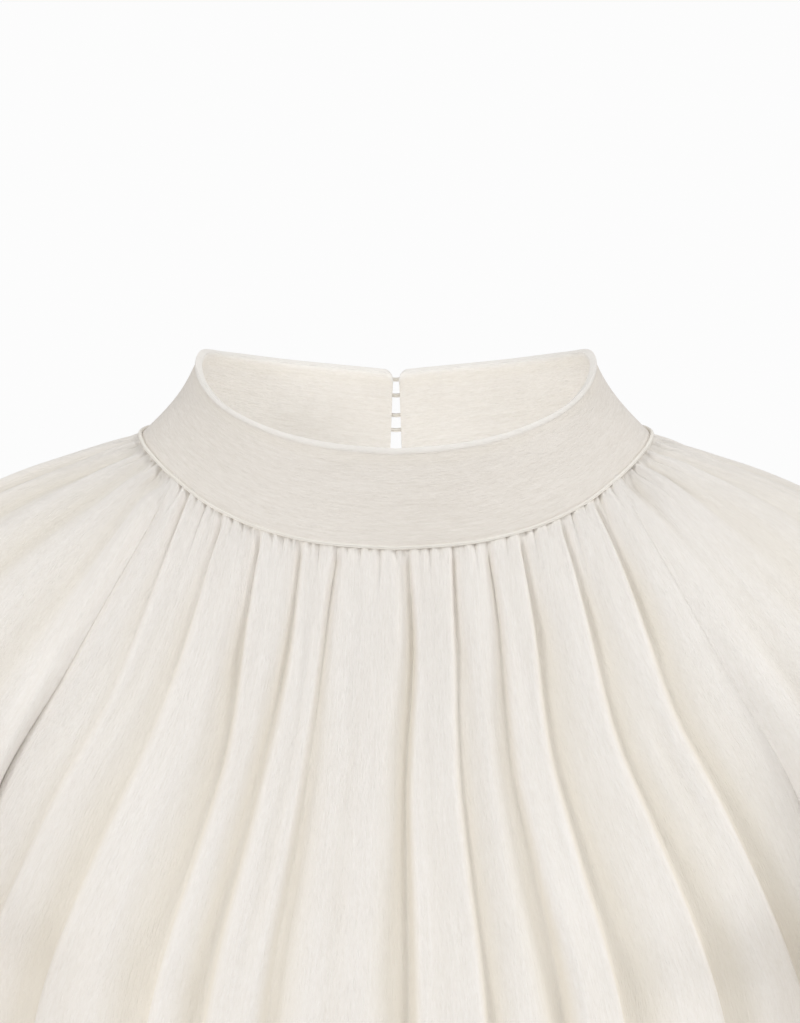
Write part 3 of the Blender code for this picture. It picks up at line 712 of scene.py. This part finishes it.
def ripple(start, across, down):
    """The cloth's slight unevenness between its folds."""
    waves = np.zeros_like(across)
    for number, wave in enumerate(RIPPLES):
        sway = wave.sway * math.sin(wave.turns * 2 * math.pi * down + number)
        waves += wave.share * np.sin(wave.across * across + (number + 1) * start + sway)
    return RIPPLE * waves * smooth_step(down / RIPPLE_FROM)


def hem_lift(down, reach):
    """The doubled cloth of a hem, which stands a little proud of the panel above it."""
    return HEM_STEP * smooth_step(((down - 2) * reach + HEM_DEPTH) / HEM_SOFT)


def edge_fade(across, down, half_row):
    """Folds die out beside a seam, over a few millimetres at the neck and more at the hem."""
    return smooth_step((1 - np.abs(across)) * half_row / (EDGE_AT_NECK + EDGE_GROWTH * down))


def seam_dip(first, last, across, down, half_row):
    """The grooves along the seams at the two edges of a panel, each with its own depth."""
    inside = (1 - np.abs(across)) * half_row
    depth = np.where(across < 0, first, last) * smooth_step(down / SEAM_DIP_FROM)
    return -depth * hump(inside, SEAM_DIP_WIDTH)


def neck_stand(down):
    """The gathered cloth is thick where it meets the cord in the neck seam."""
    return NECK_STAND * math.exp(-down / NECK_STAND_DOWN)


def back_creases():
    """Creases of the back, as uneven as those of the front."""
    tables = (BACK_STARTS, BACK_ENDS, BACK_CREASE_DEPTHS, BACK_CREASE_WIDTHS)
    return [
        Crease(place, place * BACK_SPREAD, *(table[index % len(table)] for table in tables))
        for index, place in enumerate(scattered(BACK_CREASES, BACK_START, BACK_UNEVEN))
    ]


def sleeve_roll(roll, around, down, half_row):
    """The roll beside the front raglan seam, from just under the neck to the armpit."""
    inside = (1 - around) * half_row
    along = smooth_step((down - ROLL_FROM) / ROLL_RISE) * smooth_step((1 - down) / ROLL_FALL)
    return roll.height * along * hump(inside - roll.inside, roll.width)


def sleeve_fold_share(down):
    """A sleeve's folds, which run at its top and again at its hem, are flat at the armpit."""
    above = smooth_step((SMOOTH_TO - down) / (SMOOTH_TO - SMOOTH_FROM))
    return above + smooth_step((down - FOLDED_FROM) / (FOLDED_TO - FOLDED_FROM))


# A panel of cloth: its surface, which way is out of it, the side that it is on, the length from the
# armpit's level to its hem, half of its flat width, its folds, gathers and creases, where its
# puckers and ripples start, how far it puffs out, the dips at its edges, and a sleeve's roll.
Panel = namedtuple(
    "Panel", "surface out side reach half folds gathers creases puckers ripples puff dips roll"
)


def front_panel():
    made = (FRONT_FOLDS, FRONT_GATHERS, FRONT_CREASES, FRONT_PUCKERS, FRONT_PUCKERS)
    return Panel(front_surface, -1, 1, BODY_REACH, CUT_HALF, *made, PUFF, FRONT_DIPS, None)


def back_panel():
    tucks = plain_tucks(BACK_TUCKS, BACK_TUCK_START, BACK_FOLD_DEPTH, BACK_FOLD_WIDTH)
    made = (*tucks, back_creases(), BACK_PUCKERS, BACK_PUCKERS)
    return Panel(back_surface, 1, 1, BODY_REACH, CUT_HALF, *made, PUFF, BACK_DIPS, None)


def sleeve_panel(side):
    """The sleeve at +X, or the one at -X, which is worked out at +X and turned over."""
    start = SLEEVE_TUCK_STARTS[side]
    tucks = plain_tucks(SLEEVE_TUCKS, start, SLEEVE_FOLD_DEPTH, SLEEVE_FOLD_WIDTH)
    made = (*tucks, SLEEVE_CREASES[side], SLEEVE_PUCKERS + side, SLEEVE_RIPPLES + side)
    ends = (SLEEVE_PUFF, SLEEVE_DIPS[side], ROLLS[side])
    return Panel(sleeve_surface, 1, side, SLEEVE_REACH, SLEEVE_CUT_HALF, *made, *ends)


def panel_lift(panel, across, down, half_row):
    """How far a panel's cloth lies off its surface along one row."""
    lift = fold_lift(panel.folds, across, down, half_row)
    if panel.roll:
        lift *= sleeve_fold_share(down)
    lift += gather_lift(panel.gathers, across, down, half_row)
    lift += crease_lift(panel.creases, across, down, half_row)
    lift += pucker_lift(panel.puckers, across, down, half_row)
    lift += ripple(panel.ripples, across, down)
    fade = edge_fade(across, down, half_row)
    lift = lift * fade + puffed(panel.puff, fade, down)
    if panel.roll:
        lift += sleeve_roll(panel.roll, across, down, half_row)
    dip = seam_dip(*panel.dips, across, down, half_row)
    return lift + dip + neck_stand(down) + hem_lift(down, panel.reach)


def raised_row(panel, across, down, tucks=(), proud=0.0):
    """A row of a panel's surface, moved out along its normals by the lift. Its tucked ends turn
    inwards, as a seam's allowance does."""
    surface = panel.surface
    aside = surface(across + STEP, down) - surface(across - STEP, down)
    above = surface(across, max(0.0, down - STEP))
    below = surface(across, min(2.0, down + STEP))
    normal = unit(np.cross(aside, below - above) * panel.out)
    height = panel_lift(panel, across, down, row_length(surface, down)) + proud
    # The painted shade that each point takes, fuller the deeper it lies in a fold.
    painted_shading = np.clip(-height / PAINTED_SHADE_DEPTH, 0, 1)
    for end in tucks:
        height[end] = -SEAM_TUCK
    row = surface(across, down) + normal * height[:, None]
    return row * np.array([panel.side, 1, 1]), painted_shading


def crowded(folds, first, last, columns):
    """Places across a panel at its neck seam, closer together at the folds."""
    spots = np.linspace(first, last, CROWD_SAMPLES)
    weight = np.ones_like(spots)
    for fold in folds:
        weight += CROWDING * hump(spots - fold.top, CROWD_WIDTH)
    total = np.concatenate([[0], (weight[1:] + weight[:-1]).cumsum()])
    return np.interp(np.linspace(0, total[-1], columns + 1), total, spots)


def rows_across(folds, first, last, columns):
    """The places of every row's points, which follow the folds down the panel. A tucked end has a
    second point at its place, and a third close by. The end at the opening, 0, isn't tucked."""
    tops = crowded(folds, first, last, columns)
    tops = np.concatenate([[first, first, first * SEAM_NEAR], tops[1:]])
    if last:
        tops = np.concatenate([tops[:-1], [last * SEAM_NEAR, last, last]])
    knots = [-1, *(fold.top for fold in folds), 1]
    return [
        np.interp(tops, knots, [-1, *(fold_place(fold, down) for fold in folds), 1])
        for down in DOWNS
    ]


def panel_cut(places, painted_shading, half, surface):
    """Where each point of a panel's grid lies on the flat cloth, and how much painted shade it
    takes deep in a fold.
    """
    middle = np.array([surface(np.array([0.0]), down)[0] for down in DOWNS])
    return [
        np.stack([across * half, np.full_like(across, along), depth], -1)
        for across, depth, along in zip(places, painted_shading, run_along(middle))
    ]


def panel_grid(panel, first, last, columns, aside=None):
    """The rows of a panel, moved aside in X where they have to be, with their places on the flat
    cloth."""
    places = rows_across(panel.folds, first, last, columns)
    rows, painted_shading = [], []
    for across, down in zip(places, DOWNS):
        row, depth = raised_row(panel, across, down, (0, -1) if last else (0,))
        if aside:
            row[:, 0] += aside(across, down)
        rows.append(row)
        painted_shading.append(depth)
    return rows, panel_cut(places, painted_shading, panel.half, panel.surface)


def slit_half(down):
    """Half of the centre back opening's width at a place down the back."""
    part = min(1.0, down / SLIT_END)
    widen = math.sin(math.pi / 2 * min(1.0, part / SLIT_WIDEST_AT))
    return blend(SLIT_AT_SEAM, SLIT_WIDEST, widen) * math.sqrt(1 - part**3)


def slit_aside(side, across, down):
    return side * slit_half(down) * (1 - np.abs(across)) ** SLIT_PULL


def armpit_aside(side, around, down):
    clear = ARMPIT_GAP * smooth_step((down - ARMPIT_FROM) / ARMPIT_RISE)
    return side * clear * np.abs(around) ** 3


def collar_lift(turn, height):
    """The thick folded edge along the rim, and the slow waves of the band."""
    below = (1 - height) * COLLAR_HEIGHT
    edge = RIM_RIDGE * hump(below - RIM_RIDGE_AT, RIM_RIDGE_WIDTH)
    waves = np.zeros_like(turn)
    for number, wave in enumerate(BAND_WAVES):
        angle = np.radians(wave.around * turn) + wave.climb * height + number
        waves += wave.share * np.sin(angle)
    return edge + COLLAR_WAVE * waves * np.sin(math.pi * height)


def rim_painted_light(below):
    """The painted light along the collar's rim: a painted highlight on its rolled edge, -1, and
    painted shadow, a little darker, on the band just below it.
    """
    shade = RIM_SHADE * hump(below - RIM_SHADE_AT, RIM_SHADE_WIDTH)
    return shade - math.exp(-((below / RIM_HIGHLIGHT_WIDTH) ** RIM_HIGHLIGHT_POWER))


def collar_rows():
    """Rows of the collar from the seam to the rim, with its two back corners rounded."""
    part = np.linspace(-1, 1, COLLAR_COLUMNS + 1)
    part = np.sign(part) * (1 - (1 - np.abs(part)) ** COLLAR_CROWDING)
    rows = []
    for rise in COLLAR_RISES:
        half = blend(SLIT_AT_SEAM, SLIT_AT_RIM, rise)
        width = blend(NECK_HALF_WIDTH, RIM_HALF_WIDTH, rise)
        turn = part * (180 - math.degrees(math.asin(half / width)))
        to_edge = (1 - np.abs(part)) * math.pi * width
        inside = np.clip(COLLAR_CORNER - to_edge, 0, COLLAR_CORNER)
        drop = COLLAR_CORNER - np.sqrt(COLLAR_CORNER**2 - inside**2)
        height = np.full_like(part, rise) * (1 - drop * rise**3 / COLLAR_HEIGHT)
        row = collar_wall(turn, height - COLLAR_FOOT / COLLAR_HEIGHT * (1 - rise))
        rows.append(row + level_out(row) * collar_lift(turn, height)[:, None])
    return rows


def fill(tree, socket, value):
    """Gives a socket a value, or links another node's output to it."""
    if isinstance(value, bpy.types.NodeSocket):
        tree.links.new(value, socket)
    else:
        socket.default_value = value


def node(tree, kind, **inputs):
    made = tree.nodes.new(kind)
    for name, value in inputs.items():
        fill(tree, made.inputs[name], value)
    return made


def noise(tree, place, scale, detail, rough):
    """Noise that is stretched by its scale, one number for each way, in cycles a millimetre."""
    mapping = node(tree, "ShaderNodeMapping", Vector=place, Scale=(*scale, 0.0))
    inputs = {"Vector": mapping.outputs["Vector"], "Detail": detail, "Roughness": rough}
    return node(tree, "ShaderNodeTexNoise", Scale=1.0, **inputs).outputs["Fac"]


def weighed(tree, *pairs):
    """The sum of some values, each times its own weight."""
    total = 0.0
    for value, weight in pairs:
        both = node(tree, "ShaderNodeMath")
        both.operation = "MULTIPLY_ADD"
        fill(tree, both.inputs[0], value)
        fill(tree, both.inputs[1], weight)
        fill(tree, both.inputs[2], total)
        total = both.outputs[0]
    return total


def ranged(tree, value, low, high, start, end):
    """A value that goes from start to end as this one goes from low to high."""
    inputs = {"Value": value, "From Min": low, "From Max": high, "To Min": start, "To Max": end}
    return node(tree, "ShaderNodeMapRange", **inputs).outputs["Result"]


def mixed(tree, share, first, second):
    """A color between two others, which are colors or sockets."""
    made = node(tree, "ShaderNodeMix")
    made.data_type = "RGBA"
    for name, value in (("Factor", share), ("A", first), ("B", second)):
        fill(tree, made.inputs[name], value)
    return made.outputs["Result"]


def new_surface(name):
    made = bpy.data.materials.new(name)
    made.use_nodes = True
    return made, made.node_tree, made.node_tree.nodes["Principled BSDF"]


def crepe(name, place, finish):
    """Crinkled crepe: long uneven crinkles along the cloth, finer threads, and slubs. It is painted
    warmer and darker deep in a fold and just under the collar's rim, as painted shade, and paler
    along the rim, as a painted highlight."""
    made, tree, shader = new_surface(name)
    where, painted_shading = place(tree)
    streaks = [noise(tree, where, row[:2], row.detail, row.rough) for row in STREAKS]
    height = weighed(tree, *zip(streaks, (row.height for row in STREAKS)))
    tone = weighed(tree, *zip(streaks, (row.tone for row in STREAKS)))
    tone = ranged(tree, tone, TONE_FROM, TONE_TO, 0, 1)
    color = mixed(tree, tone, finish.dark, finish.light)
    # Painted shade where the painted shading is positive: deep in a fold, and just under the
    # collar's rim.
    color = mixed(tree, ranged(tree, painted_shading, 0, 1, 0, PAINTED_SHADE_SHARE), color, PAINTED_SHADE_COLOR)
    # Painted highlight where the painted shading is negative: along the collar's rim.
    color = mixed(tree, ranged(tree, painted_shading, 0, -1, 0, RIM_HIGHLIGHT_SHARE), color, RIM_HIGHLIGHT_COLOR)
    bump = node(tree, "ShaderNodeBump", Height=height, Strength=1.0, Distance=finish.depth * MM)
    inputs = {"Base Color": color, "Normal": bump.outputs["Normal"], "Roughness": finish.roughness}
    for title, value in (inputs | SHINE).items():
        fill(tree, shader.inputs[title], value)
    return made


def on_the_cut(tree):
    """Places on the flat cloth, in millimetres, and the painted shading: painted shade deep in a
    fold, and on the collar the rim's painted highlight and painted shadow.
    """
    made = node(tree, "ShaderNodeAttribute")
    made.attribute_name = "cut"
    place = made.outputs["Vector"]
    return place, node(tree, "ShaderNodeSeparateXYZ", Vector=place).outputs["Z"]


def on_the_piece(tree):
    """Places on a small piece, in millimetres, and no painted shading."""
    place = node(tree, "ShaderNodeTexCoord").outputs["Object"]
    grown = node(tree, "ShaderNodeMapping", Vector=place, Scale=(1 / MM, 1 / MM, 1 / MM))
    return grown.outputs["Vector"], 0.0


def placed(name, data):
    made = bpy.data.objects.new(name, data)
    bpy.context.scene.collection.objects.link(made)
    return made


def aimed(made, place, way):
    """Sets a camera or a lamp at a place, looking this way."""
    made.location = place
    made.rotation_mode = "QUATERNION"
    made.rotation_quaternion = way.to_track_quat("-Z", "Y")


def add_piece(name, data, surface):
    data.materials.append(surface)
    return placed(name, data)


def smoothed(data, cuts):
    """A mesh with its points' places on the flat cloth, welded, with its faces turned outwards."""
    layer = data.attributes.new("cut", "FLOAT_VECTOR", "POINT")
    layer.data.foreach_set("vector", np.asarray(cuts, np.float32).ravel())
    mesh = bmesh.new()
    mesh.from_mesh(data)
    bmesh.ops.remove_doubles(mesh, verts=mesh.verts, dist=WELD)
    bmesh.ops.recalc_face_normals(mesh, faces=mesh.faces)
    for face in mesh.faces:
        face.smooth = True
    mesh.to_mesh(data)
    mesh.free()
    return data


def panel_mesh(name, grids, surface, thickness):
    """Joins grids of rows into one piece of cloth. Each grid has its places on the flat cloth."""
    points, cuts, faces = [], [], []
    for rows, cut in grids:
        columns = len(rows[0])
        base = len(points)
        points.extend(np.concatenate(rows) * MM)
        cuts.extend(np.concatenate(cut))
        for row in range(len(rows) - 1):
            start = base + row * columns
            faces.extend(
                (spot, spot + columns, spot + columns + 1, spot + 1)
                for spot in range(start, start + columns - 1)
            )
    data = bpy.data.meshes.new(name)
    data.from_pydata(points, [], faces)
    made = add_piece(name, smoothed(data, cuts), surface)
    wall = made.modifiers.new("Wall", "SOLIDIFY")
    wall.thickness = thickness * MM
    wall.offset = 0
    return made


def cord_rings(points, radius):
    """Rings of points round a cord, with the way that it runs and its length at each ring."""
    ahead = unit(np.gradient(points, axis=0))
    side = np.cross(ahead[0], (0.0, 0.0, 1.0))
    angles = np.linspace(0, 2 * math.pi, CORD_SIDES, endpoint=False)[:, None]
    rings = []
    for point, way in zip(points, ahead):
        side = unit(side - way * (side @ way))
        up = np.cross(way, side)
        rings.append(point + radius * (side * np.cos(angles) + up * np.sin(angles)))
    return rings, ahead, run_along(points)


def cord_mesh(name, points, radius, surface):
    """A round cord along these points, with rounded ends."""
    points = np.asarray(points, float)
    rings, ahead, reach = cord_rings(points, radius)
    turns = np.linspace(0, 2 * math.pi, CORD_SIDES, endpoint=False)
    verts = list(np.concatenate(rings))
    cuts = [(radius * turn, along, 0.0) for along in reach for turn in turns]
    faces = []
    for base in range(0, len(verts) - CORD_SIDES, CORD_SIDES):
        for step in range(CORD_SIDES):
            a, b = base + step, base + (step + 1) % CORD_SIDES
            faces.append((a, b, b + CORD_SIDES, a + CORD_SIDES))
    for end, way in ((0, -1), (len(points) - 1, 1)):
        tip = len(verts)
        verts.append(points[end] + way * ahead[end] * radius * CORD_TIP)
        cuts.append((0.0, reach[end], 0.0))
        for step in range(CORD_SIDES):
            pair = (end * CORD_SIDES + step, end * CORD_SIDES + (step + 1) % CORD_SIDES)
            faces.append((*pair[::way], tip))
    data = bpy.data.meshes.new(name)
    data.from_pydata(np.asarray(verts) * MM, [], faces)
    return add_piece(name, smoothed(data, cuts), surface)


def piping_points():
    """The middle of the cord in the neck seam, from one side of the opening to the other."""
    last = 180 - math.degrees(math.asin(SLIT_AT_SEAM / NECK_HALF_WIDTH))
    turn = np.linspace(-last, last, PIPING_STEPS + 1)
    seam = neck_seam(turn)
    side = np.sin(np.radians(turn)) ** 2
    rise = blend(PIPING_RISE_FRONT, PIPING_RISE_SIDE, side)
    return seam + level_out(seam) * PIPING_OUT + np.array([0, 0, 1]) * rise[:, None]


def back_place(drop, aside):
    """A point in the back collar's wall, at a drop below the rim, aside from the middle of the
    opening, with the way out of the cloth there and the way up it."""
    rise = 1 - drop / COLLAR_HEIGHT
    width = blend(NECK_HALF_WIDTH, RIM_HALF_WIDTH, rise)
    turn = math.copysign(180 - math.degrees(math.asin(abs(aside) / width)), aside)
    point = collar_wall(np.array([turn]), np.array([rise]))[0]
    step = collar_wall(np.array([turn]), np.array([rise + STEP]))[0] - point
    out = unit(np.cross(step, (1.0, 0.0, 0.0)))
    return point, out * math.copysign(1, out[1]), unit(step)


def loop_points(drop):
    """A cord that leaves one edge, crosses the opening with its two strands side by side, passes
    round the button's shank and comes back."""
    lift = COLLAR_CLOTH / 2 + CLEAR_OF_COLLAR + LOOP_CORD
    point, out, up = back_place(drop, SHANK_AT)
    bend = SHANK_RADIUS + LOOP_CORD + LOOP_SLACK
    middle = point + out * lift
    across = np.array([1.0, 0.0, 0.0])
    around = [
        middle + (across * math.cos(turn) + up * math.sin(turn)) * bend
        for turn in np.linspace(math.pi / 2, -math.pi / 2, LOOP_BENDS)
    ]
    strand = up * (LOOP_CORD + STRAND_GAP)
    straight = []
    for aside in np.linspace(-LOOP_ROOT, LOOP_OPENS, LOOP_BENDS):
        place, way, _ = back_place(drop, aside)
        straight.append(place + way * lift)
    upper = [spot + strand for spot in straight]
    lower = [spot - strand for spot in reversed(straight)]
    return upper + around + lower


def build_button(index, drop, surface):
    """A covered button: a turned shank and dome, standing on the outside of the collar."""
    point, out, up = back_place(drop, SHANK_AT)
    base = COLLAR_CLOTH / 2 + CLEAR_OF_COLLAR
    head = base + BUTTON_STAND
    profile = [(0.0, base), (SHANK_RADIUS, base), (SHANK_RADIUS, head)]
    for turn in np.linspace(BUTTON_UNDERSIDE, 90, BUTTON_RINGS)[:-1]:
        angle = math.radians(turn)
        height = head + BUTTON_DEPTH / 2 * (1 + math.sin(angle))
        profile.append((BUTTON_RADIUS * math.cos(angle), height))
    profile.append((0.0, head + BUTTON_DEPTH))
    name = f"covered_button_{index}"
    data = bpy.data.meshes.new(name)
    edges = [(spot, spot + 1) for spot in range(len(profile) - 1)]
    data.from_pydata([(reach * MM, 0, height * MM) for reach, height in profile], edges, [])
    made = add_piece(name, data, surface)
    turned = made.modifiers.new("Turned", "SCREW")
    turned.steps = BUTTON_SIDES
    turned.render_steps = BUTTON_SIDES
    turned.use_merge_vertices = True
    turned.merge_threshold = WELD
    turned.use_normal_calculate = True
    side = np.cross(up, out)
    rows = [(side[axis], up[axis], out[axis], point[axis] * MM) for axis in range(3)]
    made.matrix_world = Matrix((*rows, (0, 0, 0, 1)))
    return made


def build_camera():
    """The photograph's view: level with the collar, a little above, through a long lens."""
    data = bpy.data.cameras.new("camera")
    data.sensor_width = SENSOR
    data.lens = SENSOR * CAMERA_AWAY / VIEW_HEIGHT
    data.clip_end = CAMERA_REACH
    made = placed("camera", data)
    tilt = math.radians(CAMERA_ELEVATION)
    back = Vector((0, -math.cos(tilt), math.sin(tilt)))
    aimed(made, Vector(AIM) + back * CAMERA_AWAY, -back)
    bpy.context.scene.camera = made


def area_light(name, place, target, size, power, color, spread=180.0):
    data = bpy.data.lights.new(name, "AREA")
    data.shape = "DISK"
    data.size = size
    data.energy = power
    data.color = color
    data.spread = math.radians(spread)
    made = placed(name, data)
    aimed(made, place, Vector(target) - Vector(place))
    made.visible_camera = False


def build_lamps():
    """Broad soft lamps round the garment, and a small one within the neck for its far wall."""
    for lamp in LAMPS:
        turn, height = math.radians(lamp.turn), math.radians(lamp.height)
        level = math.cos(height)
        way = Vector((level * math.sin(turn), -level * math.cos(turn), math.sin(height)))
        area_light(lamp.name, way * LAMP_AWAY, LAMP_AIM, lamp.size, lamp.power, LAMP_COLOR)
    lamp = (NECK_LAMP_SIZE, NECK_LAMP_POWER, NECK_LAMP_COLOR, NECK_LAMP_SPREAD)
    area_light("neck", NECK_LAMP_PLACE, NECK_LAMP_AIM, *lamp)


def build_world():
    """A plain pale backdrop, which lights the garment less than it shows."""
    world = bpy.data.worlds.new("studio")
    bpy.context.scene.world = world
    world.use_nodes = True
    tree = world.node_tree
    sky = tree.nodes["Background"]
    sky.inputs["Color"].default_value = (1.0, 1.0, 1.0, 1)
    seen = node(tree, "ShaderNodeLightPath").outputs["Is Camera Ray"]
    tree.links.new(ranged(tree, seen, 0, 1, AMBIENT, BACKDROP), sky.inputs["Strength"])
    bpy.context.scene.view_settings.view_transform = "Standard"


def build_floor():
    data = bpy.data.meshes.new("floor")
    turns = np.linspace(0, 2 * math.pi, FLOOR_SIDES, endpoint=False)
    rim = [(FLOOR_RADIUS * math.cos(a), FLOOR_RADIUS * math.sin(a), FLOOR_Z) for a in turns]
    data.from_pydata(rim, [], [tuple(range(len(rim)))])
    surface, tree, shader = new_surface("floor")
    place = node(tree, "ShaderNodeTexCoord").outputs["Object"]
    tone = ranged(tree, noise(tree, place, *FLOOR_CLOUDS), 0, 1, *FLOOR_TONES)
    tree.links.new(tone, shader.inputs["Base Color"])
    shader.inputs["Roughness"].default_value = FLOOR_ROUGHNESS
    add_piece("floor", data, surface)


def places_along(row, run, places):
    """Points of a row at these lengths along it."""
    return np.stack([np.interp(places, run, row[:, axis]) for axis in range(3)], -1)


def hem_stitches(name, panel, thread):
    """One row of stitches along a hem, each a small spindle, joined as one mesh."""
    across = np.linspace(-1, 1, STITCH_SAMPLES)
    row, _ = raised_row(panel, across, 2 - HEM_DEPTH / panel.reach, proud=CLOTH / 2)
    run = run_along(row)
    starts = np.arange(STITCH_PITCH, run[-1] - STITCH_PITCH, STITCH_PITCH)
    low = places_along(row, run, starts)
    high = places_along(row, run, starts + STITCH_LENGTH)
    middle = places_along(row, run, starts + STITCH_LENGTH / 2)
    along = high - low
    aside = unit(np.cross(along, (0.0, 0.0, 1.0))) * STITCH_HALF
    above = np.cross(along, aside) / STITCH_LENGTH
    points = (low, high, middle + aside, middle + above, middle - aside, middle - above)
    faces = [
        tuple(len(points) * stitch + corner for corner in face)
        for stitch in range(len(starts))
        for face in SPINDLE
    ]
    data = bpy.data.meshes.new(name)
    data.from_pydata(np.stack(points, 1).reshape(-1, 3) * MM, [], faces)
    return add_piece(name, data, thread)


def add(made, slot, *nodes):
    """Sets a piece on the body and hides the nodes that it takes the place of. Its slot is not
    used.
    """
    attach(made, "root")
    if nodes:
        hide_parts(*nodes)
    return made


def build_panels(cloth, thread):
    front, back = front_panel(), back_panel()
    whole = [panel_grid(front, -1, 1, FRONT_COLUMNS)]
    halves = [
        panel_grid(back, side, 0, BACK_COLUMNS // 2, partial(slit_aside, side))
        for side in (-1, 1)
    ]
    for name, grids, sheet in (("front", whole, FRONT_SHEET), ("back", halves, BACK_SHEET)):
        made = panel_mesh(f"{name}_cloth", grids, cloth, CLOTH)
        add(made, "crepe", name)
    for name, panel in (("front", front), ("back", back)):
        add(hem_stitches(f"{name}_hem_stitches", panel, thread), "crepe")
    for side, name in ((-1, "a"), (1, "b")):
        sleeve = sleeve_panel(side)
        grid = panel_grid(sleeve, -1, 1, SLEEVE_COLUMNS, partial(armpit_aside, side))
        made = panel_mesh(f"cape_sleeve_cloth_{name}", [grid], cloth, CLOTH)
        add(made, "crepe", f"cape_sleeve_{name}")
        sheet = SLEEVE_SHEET
        add(hem_stitches(f"sleeve_hem_stitches_{name}", sleeve, thread), "crepe")


def build_collar(band):
    part = np.linspace(-1, 1, COLLAR_COLUMNS + 1)
    cut = []
    for rise in COLLAR_RISES:
        # The third value carries the rim's painted highlight and painted shadow.
        spot = (COLLAR_HEIGHT * rise, 0, rim_painted_light((1 - rise) * COLLAR_HEIGHT))
        cut.append(np.array(spot) + np.outer(part, (0, COLLAR_HALF, 0)))
    made = panel_mesh("collar_band", [(collar_rows(), cut)], band, COLLAR_CLOTH)
    rounded = made.modifiers.new("Rounded", "BEVEL")
    rounded.width = RIM_ROUND * MM
    rounded.segments = RIM_SEGMENTS
    rounded.limit_method = "ANGLE"
    rounded.angle_limit = math.radians(RIM_SHARPEST)
    add(made, "collar_crepe", "collar")


def main():
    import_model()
    build_camera()
    build_world()
    build_lamps()
    build_floor()
    cord = crepe("ivory_cord", on_the_cut, CORD)
    covered = crepe("ivory_covered_button", on_the_piece, COVERED)
    cloth = crepe("ivory_crepe", on_the_cut, BODY)
    build_panels(cloth, crepe("ivory_thread", on_the_piece, THREAD))
    build_collar(crepe("ivory_collar_crepe", on_the_cut, BAND))
    add(cord_mesh("neck_cord", piping_points(), PIPING_RADIUS, cord), "cord", "neck_piping")
    for index, drop in enumerate(LOOP_DROPS, start=1):
        loop = cord_mesh(f"loop_cord_{index}", loop_points(drop), LOOP_CORD, cord)
        add(loop, "cord", f"button_loop_{index}")
        add(build_button(index, drop, covered), "covered_button", f"button_{index}")


main()
